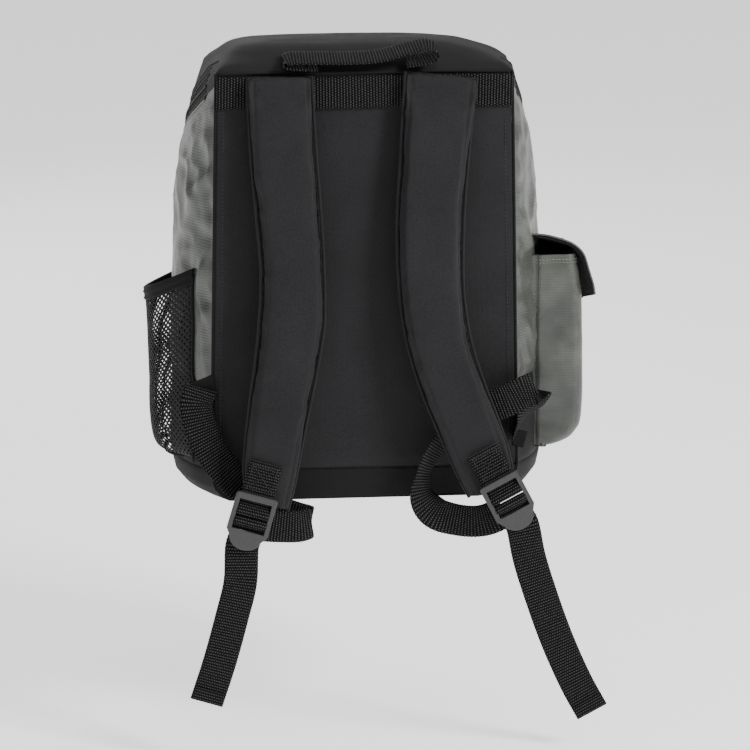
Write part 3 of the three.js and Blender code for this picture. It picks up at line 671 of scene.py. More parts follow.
# ---------- the bag's form ----------
def body_ring(level):
    """The bag's outline at one level: round the sides and front, then back along the rear edge."""
    z, right_in, left_in, front_in, back_in = level
    height = min(z, BACK_HEIGHT)
    half = BASE_HALF_WIDTH + (TOP_HALF_WIDTH - BASE_HALF_WIDTH) * max(height, 0) / BACK_HEIGHT
    above = max(height - WAIST, 0)
    bulge = SIDE_BULGE * (1 - (above / WAIST) ** 2.5)
    depth = BODY_DEPTH - TOP_DEPTH_LOSS * (above / (BACK_HEIGHT - WAIST)) ** 3
    corners = [
        (half, 0), (half + 0.62 * bulge, 0.21 * depth), (half + bulge, 0.5 * depth),
        (half + 0.8 * bulge, 0.75 * depth), (half + 0.8 * bulge - 25, 0.925 * depth), (80, depth - 1.5),
    ]
    route = [*corners, (0, depth), *[(-x, y) for x, y in reversed(corners)]]
    squeeze = {True: 1 - right_in / (half + bulge), False: 1 - left_in / (half + bulge)}
    squeeze_y = 1 - (front_in + back_in) / depth
    route = [(x * squeeze[x > 0], back_in + y * squeeze_y, z) for x, y in route]
    arc = resample(curve(route)[0], ARC_STEPS)
    rear = np.linspace(arc[-1], arc[0], REAR_STEPS + 1)[1:-1]
    ring = np.vstack([arc, rear])
    spread = 0.05 + 7 * smooth_step(z, BACK_HEIGHT + 1, BACK_HEIGHT + 14)
    reach = np.arange(-18, 19)
    weights = np.exp(-0.5 * (reach / spread) ** 2)
    return sum(w * np.roll(ring, k, axis=0) for k, w in zip(reach, weights / weights.sum()))


def body_grid():
    """The whole outer surface, from the middle of the base to the middle of the lid."""
    insets = np.array(LEVELS, float)
    low = np.concatenate([[0, 1.3, 2.6, 4, 6.5, 9, 12, 15, 18, 21, 24, 26],
                          np.arange(BASE_TRAY, BAND_TOP, 2.2), np.arange(BAND_TOP, BACK_HEIGHT, 2.4)])
    below = join(low, *read_off(low, insets[:, 0], insets[:, 1:]).T)
    dome = curve(DOME, 6)[0]
    rings = [body_ring(level) for level in [*below, *dome]]
    floor_middle = np.array([0, BODY_DEPTH / 2, 0])
    lid_middle = np.array(DOME_MIDDLE, float)
    under = [floor_middle + (rings[0] - floor_middle) * k for k in (0, 0.2, 0.4, 0.6, 0.8, 0.92)]
    over = [lid_middle + (rings[-1] - lid_middle) * k for k in (0.9, 0.75, 0.6, 0.45, 0.3, 0.15, 0)]
    return np.array([*under, *rings, *over])


def zip_offset(places):
    """Height above the middle of the main zip, square to its plane."""
    return ((places[..., 2] - BACK_HEIGHT) * math.cos(HOOD_SLOPE)
            + places[..., 1] * math.sin(HOOD_SLOPE))


def grid_normals(places):
    """Outward directions of a grid whose columns close on themselves."""
    across = np.roll(places, -1, axis=1) - np.roll(places, 1, axis=1)
    return unit(np.cross(across, np.gradient(places, axis=0)))


def fold(places, start, end, width, height):
    """A ridge between two places on a side of the bag, given as (y, z)."""
    a, b = np.array(start, float), np.array(end, float)
    flat = places[..., 1:]
    t = np.clip(((flat - a) @ (b - a)) / ((b - a) @ (b - a)), 0, 1)
    distance = np.linalg.norm(flat - (a + t[..., None] * (b - a)), axis=-1)
    return height * np.exp(-(distance / width) ** 2) * np.sin(np.pi * np.clip(t, 0.06, 0.94))


def body_relief(places):
    """How far the fabric stands out from the bag's plain form."""
    x, y, z = np.moveaxis(places, -1, 0)
    offset = zip_offset(places)
    front = (np.abs(x) < FRONT_HALF_WIDTH + 4) & (y > BODY_DEPTH / 2) & (z < 300)
    ahead = smooth_step(y, HINGE_Y - 8, HINGE_Y)
    relief = valley(z - BASE_TRAY) + ahead * (valley(offset + TAPE) + valley(offset - TAPE, 0.8))
    relief += valley(z - BAND_TOP) * (np.abs(x) > FRONT_HALF_WIDTH)
    relief += valley(np.abs(x) - FRONT_HALF_WIDTH) * front * (offset < -TAPE)
    flank = smooth_step(z, BAND_TOP - 6, BAND_TOP + 18) * smooth_step(-offset, TAPE + 1, TAPE + 22)
    soft = flank * (0.4 + 0.6 * smooth_step(np.abs(x), 60, 120))
    soft = soft * (1 - 0.5 * smooth_step(y, 40, 72))
    sewn = np.exp(-((y - 26) / 9) ** 2) + np.exp(-((y - 139) / 9) ** 2)
    soft = soft * (1 - 0.9 * sewn * (x < 0) * smooth_step(-z, -232, -206))
    crumple = 1 - 2 * np.abs(noise(places + 8 * noise(places, 40, 3)[..., None], 26, 5))
    relief += soft * (2.4 * noise(places, 46, 1) + 1.9 * crumple + 0.8 * noise(places, 11, 2))
    slanted = join(x, y + 0.5 * z, z * 0.35)
    relief += soft * 1.5 * (1 - 2 * np.abs(noise(slanted, 24, 8)))
    for side, start, end, width, height in FOLDS:
        relief += (x * side > 0) * soft * fold(places, start, end, width, height)
    pulls = 1 - smooth_step(y, 4, 26)
    relief += soft * pulls * 1.3 * noise(join(0, y * 0.2, z + 0.4 * y), 11, 12)
    band = smooth_step(z, BASE_TRAY, BASE_TRAY + 10) * smooth_step(-z, -BAND_TOP, 10 - BAND_TOP)
    relief += band * (1.2 * noise(places, 34, 4) + 0.5 * noise(places, 12, 6))
    top = smooth_step(offset, TAPE, TAPE + 25)
    relief += top * (0.9 * noise(places, 60, 9) + 0.25 * noise(places, 15, 10))
    return relief * smooth_step(y, 0, 6)


BODY_PLAIN = body_grid()
BODY = BODY_PLAIN + grid_normals(BODY_PLAIN) * body_relief(BODY_PLAIN)[..., None]
BODY_CELLS, BODY_UNWRAPPED = grid_cells(*BODY.shape[:2], wrap=True)
BODY_TREE = BVHTree.FromPolygons(BODY.reshape(-1, 3).tolist(), BODY_CELLS.tolist())


def on_body(origin, direction):
    """Where a ray first meets the bag."""
    hit = BODY_TREE.ray_cast(Vector(origin), Vector(direction))[0]
    return np.array(hit) if hit else np.array(origin, float)


def beside_body(side, y, z):
    """How far out the bag reaches on one side, where a level ray from that side meets it."""
    return abs(on_body((side * FAR, y, z), (-side, 0, 0))[0])


def region(place):
    """Which panel of the bag a place belongs to."""
    x, y, z = place
    offset = float(zip_offset(np.array(place)))
    side = "left" if x < 0 else "right"
    if z < BASE_TRAY:
        return "base"
    if offset < -TAPE:
        if abs(x) < FRONT_HALF_WIDTH and y > BODY_DEPTH / 2:
            return "front"
        return f"band_{side}" if z < BAND_TOP else f"side_{side}"
    if y < HINGE_Y:
        return "hood"
    if offset < 0:
        return "zip_lower"
    return "zip_upper" if offset < TAPE else "hood"


def cut_body():
    """Cuts the bag's surface along its seams and returns an unfinished mesh for each panel."""
    columns = BODY.shape[1]
    uv = grid_uv(BODY_PLAIN, wrap=True).reshape(-1, 2)
    rear = (BODY_CELLS[:, 0] % columns) >= ARC_STEPS
    height = BODY.reshape(-1, 3)[BODY_CELLS][:, :, 2].mean(axis=1)
    keep = ~(rear & (height > 0.05) & (height < BACK_HEIGHT))
    whole = make("body", BODY.reshape(-1, 3), BODY_CELLS[keep], BLACK, uv[BODY_UNWRAPPED[keep].ravel()])
    work = bmesh.new()
    work.from_mesh(whole.data)
    bpy.data.objects.remove(whole)
    bmesh.ops.remove_doubles(work, verts=work.verts, dist=0.02 * MM)
    slope = (0, math.sin(HOOD_SLOPE), math.cos(HOOD_SLOPE))
    planes = [((0, 0, height), (0, 0, 1)) for height in (BASE_TRAY, BAND_TOP)]
    planes += [((0, HINGE_Y, 0), (0, 1, 0))]
    planes += [((sign * FRONT_HALF_WIDTH, 0, 0), (1, 0, 0)) for sign in (-1, 1)]
    planes += [((0, 0, BACK_HEIGHT + lift / slope[2]), slope) for lift in (-TAPE, 0, TAPE)]
    for place, normal in planes:
        everything = [*work.verts, *work.edges, *work.faces]
        bmesh.ops.bisect_plane(work, geom=everything, dist=1e-6, plane_co=point(*place), plane_no=normal)
    work.faces.ensure_lookup_table()
    names = [region(np.array(f.calc_center_median()) / MM + (0, 0, ORIGIN_HEIGHT)) for f in work.faces]
    return work, names


def build_body():
    work, names = cut_body()
    looks = {
        "base": (BLACK, "black_fabric", ["base_panel"], "root"),
        "front": (GREEN, "green_ripstop", ["front_panel"], "root"),
        "zip_lower": (TAPE_CLOTH, "zip_tape", ["main_zip_lower"], "root"),
        "zip_upper": (TAPE_CLOTH, "zip_tape", ["main_zip_upper"], "lid"),
        "hood": (SHADED_HOOD, "black_fabric", ["lid_panel", "top_rear_strip"], None),
    }
    for side in SIDES:
        looks[f"band_{side}"] = (BLACK, "black_fabric", [f"lower_band_{side}"], "root")
        looks[f"side_{side}"] = (GREEN, "green_ripstop", [f"side_panel_{side}"], "root")
    for name, (material, slot, nodes, body) in looks.items():
        part = work.copy()
        part.faces.ensure_lookup_table()
        others = [face for face, label in zip(part.faces, names) if label != name]
        bmesh.ops.delete(part, geom=others, context="FACES")
        mesh = bpy.data.meshes.new(f"bag_{name}")
        part.to_mesh(mesh)
        part.free()
        mesh.materials.append(material)
        obj = thicken(add_object(f"bag_{name}", mesh), FABRIC)
        dress(obj, body, slot, *nodes)
        if name == "hood":
            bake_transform(obj)
    work.free()


def zip_line(lift):
    """The line on the bag a given height above the main zip, ahead of the lid's hinge."""
    arc = BODY[:, :ARC_STEPS + 1]
    offsets = zip_offset(arc)
    rows = slice(len(arc) // 3, -7)  # the rows up which the height only grows
    line = np.array([[np.interp(lift, offsets[rows, column], arc[rows, column, k]) for k in range(3)]
                     for column in range(ARC_STEPS + 1)])
    return line[line[:, 1] > HINGE_Y + 0.4]


def line_outward(line):
    """Directions away from the bag along a line round its sides and front."""
    return unit(np.cross(tangents(line), (0, 0, 1)))


def build_main_zip():
    for name, lift, radius, body, material in (
        ("zip_cord_low", -TAPE, 0.9, "root", BLACK), ("zip_cord_mid_low", -TAPE / 2, 0.5, "root", BLACK),
        ("zip_cord_mid_high", TAPE / 2, 0.5, "lid", BLACK), ("zip_cord_high", TAPE, 0.9, "lid", BLACK),
        ("zip_edge_fold", -TAPE - 2.2, 1.0, "root", GREEN), ("hood_cord_first", TAPE + 5, 0.7, "lid", SHADED_HOOD),
        ("hood_cord_second", TAPE + 10, 0.7, "lid", SHADED_HOOD),
    ):
        line = zip_line(lift)
        dress(tube(name, line + line_outward(line) * 0.2, radius, material, 6), body, "zip_tape")
    for name, lift, body in (("zip_teeth_low", -0.75, "root"), ("zip_teeth_high", 0.75, "lid")):
        line = zip_line(lift)
        line = resample(line, int(along(line)[-1] / TOOTH_PITCH))
        if lift > 0:
            line = (line[1:] + line[:-1]) / 2
        teeth(name, line, line_outward(line), (1.2, 1.9, 1.5), 0.5, body)


# ---------- back ----------
def rear_half_width(z):
    """Half the width of the back panel, rounded in at the base."""
    insets = np.array(LEVELS, float)
    half = BASE_HALF_WIDTH + (TOP_HALF_WIDTH - BASE_HALF_WIDTH) * z / BACK_HEIGHT
    side_in = np.interp(z, insets[:, 0], insets[:, 1])
    return half * (1 - side_in / (half + SIDE_BULGE))


def back_crown(x, z):
    """How far the padded back stands towards the wearer."""
    half = rear_half_width(z)
    across = np.sqrt(np.clip(1 - (np.abs(x) / half) ** 6, 0, 1))
    upright = smooth_step(z, BASE_TRAY - 2, BASE_TRAY + 12) * smooth_step(BACK_HEIGHT - z, 0, 8)
    yoke = 1 - 0.75 * smooth_step(z, YOKE_BOTTOM - 34, YOKE_BOTTOM)
    return 2.0 * across * upright * yoke


def back_grid(heights, columns, inset):
    """x and z over the back panel, an inset away from its side edges."""
    c = np.linspace(-1, 1, columns)
    x = c[None] * (rear_half_width(heights)[:, None] - inset)
    return x, np.repeat(heights[:, None], columns, axis=1)


def build_back():
    heights = np.append(np.arange(BASE_TRAY, BACK_HEIGHT - 0.5, 3), BACK_HEIGHT - 0.4)
    x, z = back_grid(heights, 100, 0.2)
    places = join(x, 0, z)
    relief = 0.55 * noise(places, 60, 21) + 0.22 * noise(places, 17, 22)
    crown = back_crown(x, z)
    places[..., 1] = 0.4 - crown - relief * np.clip(crown, 0, 1)
    panel = sheet("back_padding", places, CHARCOAL, 2.0, join(x, z))
    dress(panel, "root", "charcoal_fabric", "back_panel")
    x, z = back_grid(np.linspace(0, BASE_TRAY - 0.6, 16), 100, 0.2)
    strip = join(x, -0.5 * smooth_step(z, 0, 8) + 0.25 * noise(join(x, z, z), 20, 24), z)
    dress(sheet("back_base_strip", strip, BLACK, 1.5), "root", "black_fabric")
    for side, sign in SIDES.items():
        z = np.linspace(10, BACK_HEIGHT - 1, 120)
        edge = join(sign * (rear_half_width(z) + 0.4), 0.4, z)
        dress(tube(f"back_piping_{side}", edge, PIPING, BLACK), "root", "black_fabric")
        x = sign * (rear_half_width(z) - 7)
        row = stitches(f"back_stitches_{side}", join(x, 0.3 - back_crown(x, z), z), (0, -1, 0), THREAD_DARK)
        dress(row, "root", "charcoal_fabric")
    x, z = back_grid(np.linspace(9, BACK_HEIGHT - 7, 80), 50, 4.5)
    inner = join(x, 12.2, z)
    inner[..., 1] += 0.5 * noise(inner, 30, 23)
    dress(sheet("back_inner", inner, BLACK, 0.8, flip=True), "root", "black_fabric", "back_lining")
    middle = (YOKE_BOTTOM + YOKE_TOP) / 2
    stops = [((x, -1.7 - back_crown(x, middle), middle + 0.8 * math.sin(x / 40)), (0, 0, 1))
             for x in np.linspace(-TOP_HALF_WIDTH, TOP_HALF_WIDTH, 15)]
    yoke = ribbon("yoke_band", stops, WEBBING, YOKE_TOP - YOKE_BOTTOM, 1.4, columns=13)
    dress(yoke, "root", "webbing", "yoke_webbing")
    top_seam = join(np.linspace(-TOP_HALF_WIDTH + 2, TOP_HALF_WIDTH - 2, 60), -0.9, YOKE_TOP + 3)
    dress(tube("top_seam_fold", top_seam, 1.1, BLACK), "root", "black_fabric")


# ---------- shoulder pads ----------
def pad_frames(side):
    """Places, width directions and half widths along a pad."""
    stations = np.array(PADS[side], float)
    at, centre, which = even_curve(stations[:, :3], count=PAD_RINGS)
    half = np.interp(which, np.arange(len(stations)), stations[:, 3])
    forward = tangents(centre)
    angle = np.arctan2(forward[:, 0], -forward[:, 2])
    end = smooth_step(at, at[-1] - 34, at[-1])
    angle = angle * (1 - end) + PAD_END_TURN[side] * end
    return centre, join(np.cos(angle), 0, np.sin(angle)), half


def pad_form(side, shrink):
    """The pad's cover as closed rings."""
    centre, across, half = pad_frames(side)
    turn = np.linspace(0, 2 * np.pi, 44, endpoint=False)
    wide = np.sign(np.cos(turn)) * np.abs(np.cos(turn)) ** 0.6
    deep = np.sign(np.sin(turn)) * np.abs(np.sin(turn)) ** 0.85
    tucked = 1 - smooth_step(centre[0, 2] - centre[:, 2], 0, 26)
    middle = (PAD_FRONT - PAD_BACK) / 2 - 3 * tucked
    reach = ((PAD_FRONT + PAD_BACK) / 2 - shrink) * (1 - 0.45 * tucked)
    rings = centre[:, None] + across[:, None] * (wide[None, :, None] * (half - shrink)[:, None, None])
    rings[..., 1] -= middle[:, None] + reach[:, None] * deep[None]
    return rings


def above_patch(z):
    """From 0 where the webbing patch lies on a pad's end to 1 on the rest of the pad."""
    return smooth_step(z, 48, 90)


def inflate(obj):
    """Fills a closed form like a foam pad. Its edges stay straight, and no point moves far."""
    start = read(obj.data.vertices)
    cloth = obj.modifiers.new("Cloth", "CLOTH")
    cloth.settings.quality = 6
    cloth.settings.mass = 0.25
    cloth.settings.bending_stiffness = 6
    cloth.settings.use_pressure = True
    cloth.settings.uniform_pressure_force = 4
    cloth.settings.effector_weights.gravity = 0
    for number in range(1, 21):
        bpy.context.scene.frame_set(number)
    finish_mesh(obj)
    bpy.context.scene.frame_set(1)
    moved = (read(obj.data.vertices) - start).reshape(-1, 3) * (0.35, 1, 0.35)
    size = np.linalg.norm(moved, axis=1, keepdims=True)
    flat_end = above_patch(start[2::3] / MM + ORIGIN_HEIGHT)[:, None]
    share = np.minimum(1, PAD_INFLATION * MM / np.maximum(size, 1e-9)) * flat_end
    limited = start.reshape(-1, 3) + moved * share
    obj.data.vertices.foreach_set("co", limited.ravel())
    finish_mesh(obj, ("SUBSURF", {"levels": 1, "render_levels": 1}))
    obj.data.shade_smooth()


def pleat(obj, side):
    """Presses soft folds into a pad: short puckers off its edges and long shallow hollows."""
    places = read(obj.data.vertices).reshape(-1, 3) / MM + (0, 0, ORIGIN_HEIGHT)
    normals = read(obj.data.vertices, "normal").reshape(-1, 3)
    centre, _, half = pad_frames(side)
    order = np.argsort(centre[:, 2])
    z = places[:, 2]
    middle = np.interp(z, centre[order, 2], centre[order, 0])
    width = np.interp(z, centre[order, 2], half[order])
    edge = np.abs(places[:, 0] - middle) / width
    outer = normals[:, 1] < 0
    pucker = smooth_step(edge, 0.5, 0.88) * 0.9 * noise(places * (0.25, 0.25, 1), 8, 31) * outer
    hollow = 1.1 * noise(places * (1, 0.5, 0.7), 26, 32) + 0.45 * noise(places * (1, 0.5, 1.3), 11, 33)
    groove = valley(edge * width - (width - 5), 0.8, 1.5) * outer
    relief = (pucker + hollow * (1 - smooth_step(edge, 0.8, 1))) * above_patch(z) + groove
    moved = places + normals * relief[:, None]
    obj.data.vertices.foreach_set("co", to_metres(moved).ravel())


def build_pad(side):
    body = f"strap_{side}"
    pad = loft(f"pad_{side}", pad_form(side, 0.9), CHARCOAL)
    inflate(pad)
    pleat(pad, side)
    dress(pad, body, "charcoal_fabric", f"shoulder_pad_{side}")
    centre, across, half = pad_frames(side)
    for edge, sign in SIDES.items():
        line = centre + across * (sign * (half[:, None] - 0.2)) + (0, 1.0, 0)
        dress(tube(f"pad_{side}_piping_{edge}", line, 1.4, SHADED_HOOD), body, "charcoal_fabric")
    c = np.linspace(-1, 1, 15)
    lining = centre[:, None] + across[:, None] * (c[None, :, None] * (half[:, None, None] - 0.8))
    lining[..., 1] += PAD_LINING_DEPTH - 0.5 * c ** 4
    piece = sheet(f"pad_lining_{side}", lining, SPACER, 1.6, flip=True)
    dress(piece, body, "net", f"pad_lining_{side}")


# ---------- ladder locks and their webbing ----------
def lock_axes(side):
    place, lean = LOCKS[side]
    across = np.array([math.cos(lean), 0, -math.sin(lean)])
    up = np.array([math.sin(lean), 0, math.cos(lean)])
    return np.array(place, float), across, up, np.array([0.0, -1.0, 0.0])


def lock_point(side, across, up, out):
    place, a, b, c = lock_axes(side)
    return place + a * across + b * up + c * out


def build_lock(side):
    """A moulded frame with two bars and a half-round lip."""
    half, top, bottom, bevel = LOCK["half"], LOCK["top"], LOCK["bottom"], LOCK["bevel"]
    right = [(half - 1, top), (half, top - 1.2), (half, bottom + 5), (half - 3.5, bottom)]
    lip = [((half - 4.5) * math.cos(a), bottom - LOCK["lip"] * math.sin(a))
           for a in np.linspace(0.05, math.pi - 0.05, 21)]
    left = [(-x, y) for x, y in reversed(right)]
    outline = [left[-1], *right, *lip, *left[:-1]]
    inner_half, inner_top = half - LOCK["rail"], top - LOCK["top_bar"]
    window = [(-inner_half, inner_top), (inner_half, inner_top), (inner_half, LOCK["window_end"]),
              (-inner_half, LOCK["window_end"])]
    shape = bpy.data.curves.new(f"lock_outline_{side}", "CURVE")
    shape.dimensions = "2D"
    shape.fill_mode = "BOTH"
    shape.extrude = (LOCK["thick"] / 2 - bevel) * MM
    shape.bevel_depth = bevel * MM
    shape.bevel_resolution = 3
    for loop, inward in ((outline, bevel), (window, -bevel)):
        spline = shape.splines.new("POLY")
        spline.points.add(len(loop) - 1)
        shrink = 1 - inward / math.hypot(half, half)
        for control, (x, y) in zip(spline.points, loop):
            control.co = (x * shrink * MM, y * MM, 0, 1)
        spline.use_cyclic_u = True
    holder = add_object("lock_holder", shape)
    mesh = bpy.data.meshes.new_from_object(holder.evaluated_get(bpy.context.evaluated_depsgraph_get()))
    bpy.data.objects.remove(holder)
    flat = read(mesh.vertices).reshape(-1, 3) / MM
    place, across, up, out = lock_axes(side)
    places = place + flat[:, :1] * across + flat[:, 1:2] * up + flat[:, 2:] * out
    lock = make(f"lock_{side}", places, [list(p.vertices) for p in mesh.polygons], PLASTIC)
    rework(lock.data, 0.005)
    lock.data.shade_smooth()
    dress(lock, f"lock_{side}", "moulded_plastic", f"ladder_lock_{side}")
    lock.modifiers.new("Weighted normals", "WEIGHTED_NORMAL")
    for name, (height, radius) in LOCK_BARS.items():
        reach = np.linspace(-inner_half - 1, inner_half + 1, 9)
        line = np.array([lock_point(side, x, height, 0) for x in reach])
        bar = tube(f"lock_{side}_{name}_bar", line, radius, PLASTIC, 14)
        dress(bar, f"lock_{side}", "moulded_plastic")


def lock_route(side, steps):
    across = lock_axes(side)[1]
    return [(lock_point(side, 0, up, out), across) for up, out in steps]


def build_strap_webbing(side):
    strap, lock, tail = f"strap_{side}", f"lock_{side}", f"tail_{side}"
    patch = ribbon(f"patch_{side}", lock_route(side, PATCH_LOOP), WEBBING, 29.4, 1.1, 0.25)
    dress(patch, None, "webbing", f"strap_patch_{side}")
    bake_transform(patch)
    gripped = ribbon(f"gripped_{side}", lock_route(side, GRIP_LOOP), WEBBING, 29.4, 1.2, 0.25)
    dress(gripped, lock, "webbing", f"gripped_webbing_{side}")
    route = [lock_point(side, 0, up, out) for up, out in TAIL_START]
    route += [np.array(place, float) for place in TAILS[side]]
    forward = tangents(np.array(route))
    stops = [(p, unit(np.cross(f, (0, 1, 0)))) for p, f in zip(route, forward)]
    tail_piece = ribbon(f"tail_strap_{side}", stops, WEBBING, 30, 1.4)
    dress(tail_piece, None, "webbing", f"strap_tail_{side}")
    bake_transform(tail_piece)
    (before, width), (last, last_width) = [(place + (0, -1.3, 0), w) for place, w in stops[-2:]]
    hem_stops = [(last + unit(before - last) * 12, width), (last, last_width)]
    dress(ribbon(f"tail_hem_{side}", hem_stops, WEBBING, 29.6, 1.0), tail, "webbing")
    slack = LOWER_WEBBING[side]
    lower = ribbon(f"slack_webbing_{side}", slack, WEBBING, 29, 1.3)
    dress(lower, None, "webbing", f"lower_webbing_{side}")
    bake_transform(lower)


def build_patch_stitches(side):
    """The crossed box of stitches that holds the patch to the pad."""
    high, low = (28.5, -5.5), (8, -3.7)  # height above the lock's top bar, and depth
    box = [(-11, *high), (11, *high), (11, *low), (-11, *low), (-11, *high), (11, *low), (11, *high),
           (-11, *low)]
    for i, (first, last) in enumerate(zip(box, box[1:])):
        if i != 5:  # the right side has its row already
            ends = np.linspace(lock_point(side, *first), lock_point(side, *last), 12)
            row = stitches(f"patch_{side}_stitches_{i + 1}", ends, (0, -1, 0), THREAD_DARK, 2.6,
                           (1.8, 0.8, 0.6))
            dress(row, f"strap_{side}", "webbing")


def build_anchor_wing(side):
    corners = np.array(ANCHOR_WINGS[side], float)
    top = np.linspace(corners[0], corners[1], 14)
    low = np.linspace(corners[3], corners[2], 14)
    t = np.linspace(0, 1, 16)[:, None, None]
    flat = low[None] * (1 - t) + top[None] * t
    places = join(flat[..., 0], -1.2, flat[..., 1])
    places[..., 1] -= 0.3 * noise(places, 8, 41)
    wing = sheet(f"wing_{side}", places, BLACK, 1.2, flip=side == "right")
    dress(wing, "root", "black_fabric", f"anchor_wing_{side}")


# ---------- grab handle ----------
def build_handle():
    across = np.array([0, math.cos(HANDLE_TILT), math.sin(HANDLE_TILT)])
    handle = ribbon("handle", [((x, 0, z), across) for x, z in HANDLE], WEBBING, 26, 1.4)
    dress(handle, None, "webbing", "grab_handle")
    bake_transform(handle)


# ---------- flap pocket ----------
def pocket_outer(z):
    levels = np.array(SIDE_POCKET_LEVELS, float)
    line = curve(levels, 8)[0]
    return float(np.interp(z, line[:, 0], line[:, 1]))


def build_flap_pocket():
    back, front, top = SIDE_POCKET["back"], SIDE_POCKET["front"], SIDE_POCKET["top"]
    radius = POCKET_CORNER
    rows = []
    heights = np.concatenate([np.arange(36, 60, 1.8), np.arange(60, top, 2.4), [top]])
    turn = np.linspace(0, np.pi / 2, 7)
    for z in heights:
        x = pocket_outer(z)
        near, far = beside_body(1, back, z) - 1.2, beside_body(1, front, z) - 1.2
        rear = [(x - radius + radius * math.sin(a), back + radius - radius * math.cos(a), z) for a in turn]
        ahead = [(x - radius + radius * math.cos(a), front - radius + radius * math.sin(a), z)
                 for a in turn]
        rows.append(resample(np.array([(near, back, z), *rear, *ahead, (far, front, z)]), 90))
    rows = np.array(rows)
    middle = np.array([beside_body(1, 80, 36) - 1, 80, 36])
    under = [rows[0] + (middle - rows[0]) * (1, 0, 0) * k for k in (1.0, 0.6, 0.3)]
    places = np.concatenate([np.array(under), rows])
    x, y, z = np.moveaxis(places, -1, 0)
    out = unit(np.cross(np.gradient(places, axis=1), (0, 0, 1)))
    pressed = 1.3 * smooth_step(x, EDGE_SEAM - 1, EDGE_SEAM + 1) * (y < back + 12)
    relief = 0.9 * noise(places, 30, 51) + 0.35 * noise(places, 11, 52)
    low = smooth_step(-z, -70, -40)
    creases = noise(join(x + 1.1 * z, y + 0.6 * z, z * 0.2), 15, 53)
    pleats = low * 2.6 * (1 - 2 * np.abs(creases))
    hem = valley(z - (top - 9), 0.6, 1.4) + valley(z - (top - 6.5), 0.4, 1.0)
    places = places + out * (pressed + relief * smooth_step(x, 150, 160) + pleats + hem)[..., None]
    pocket = sheet("flap_pocket", places, GREEN, 1.8)
    dress(pocket, "root", "green_ripstop", "side_pocket")
    for i, drop in enumerate((4.5, 7.5)):
        row = np.argmin(np.abs(heights - (top - drop))) + len(under)
        line = places[row] + out[row] * 0.35
        line = line[3:-3] + (0, 0, (top - drop) - heights[row - len(under)])
        dress(stitches(f"pocket_hem_stitches_{i + 1}", line, out[row][3:-3], THREAD_LIGHT, 3.0,
                       (2.0, 0.55, 0.5)), "root", "green_ripstop")
    edge = [(EDGE_SEAM, back - 1.6, z) for z in np.linspace(44, top - 1, 60)]
    dress(stitches("pocket_edge_stitches", edge, (0, -1, 0), THREAD_DARK, 3.2, (2.2, 0.5, 0.5)), "root",
          "green_ripstop")
    build_pocket_flap(back, front)
    y, z = np.meshgrid(np.linspace(back + 14, front - 14, 40), np.linspace(146, 164, 16))
    places = join(pocket_outer(155) + 1.4, y, z)
    places[..., 0] += 0.3 * noise(places, 2.4, 54)
    loops = sheet("pocket_loop_patch", places, VELCRO, 1.6)
    dress(loops, "root", "hook_and_loop", "side_pocket_fastener")


def flap_layer(name, offset, y0, y1, first, material, thick):
    """A curved layer of the flap, a given offset from its middle line. It starts a share first of
    the way along that line."""
    steps = 80
    line = resample(curve(FLAP_LINE)[0], steps)
    forward = tangents(line)
    out = join(-forward[:, 1], 0, forward[:, 0])
    i = np.arange(steps + 1)[:, None]
    free = smooth_step(i, steps - 6, steps) * 5
    across = np.linspace(0, 1, 46)
    y = y0 + free * 0.4 + (y1 - y0 - free) * across
    spread = smooth_step(i, 30, steps) * (-5 - 4 * across)
    fall = across * (18 + 2 * smooth_step(i, 6, 30))
    places = np.stack([line[:, :1] + spread, y, line[:, 1:] - fall], axis=2)
    sag = 1.2 * np.cos(np.pi * (y - 80) / 96) * smooth_step(i, 18, 48)
    lift = sag + 0.6 * noise(places, 22, 61) * smooth_step(i, 12, 28) + offset
    places = places + out[:, None] * lift[..., None]
    for row in range(16):
        for column, place in enumerate(places[row]):
            root = beside_body(1, place[1], FLAP_ROOT) - 1.5
            places[row, column, 0] = max(root, place[0]) if row else root
    return sheet(name, places[int(first * steps):], material, thick)


def build_pocket_flap(back, front):
    for name, offset, inset, material, thick, slot, node in (
        ("flap", 0.8, -2, GREEN, 1.6, "green_ripstop", "side_flap"),
        ("flap_lining", -1.0, -1.4, BLACK, 1.0, "black_fabric", "side_flap_lining"),
    ):
        layer = flap_layer(name, offset, back + inset, front - inset, 0, material, thick)
        dress(layer, None, slot, node)
        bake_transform(layer)
    patch = flap_layer("flap_hook_patch", -2.2, back + 14, front - 14, 0.6, VELCRO, 1.0)
    dress(patch, "pocket_flap", "hook_and_loop", "side_flap_fastener")


# ---------- mesh pocket ----------
NET_STEPS = 120
NET_WIDTHS = np.linspace(170, 197, 14)


def net_outline(out):
    route = [(-140, 26, 0), (-152, 26.5, 0), (-(out - 22), 38, 0), (-(out - 5), 57, 0), (-out, 80, 0),
             (-(out - 7), 108, 0), (-(out - 26), 130, 0), (-152, 139, 0), (-140, 140, 0)]
    return resample(curve(route)[0], NET_STEPS)


NET_TABLE = np.array([net_outline(width) for width in NET_WIDTHS])
NET_LENGTH = along(net_outline(NET_WIDTH))[-1]


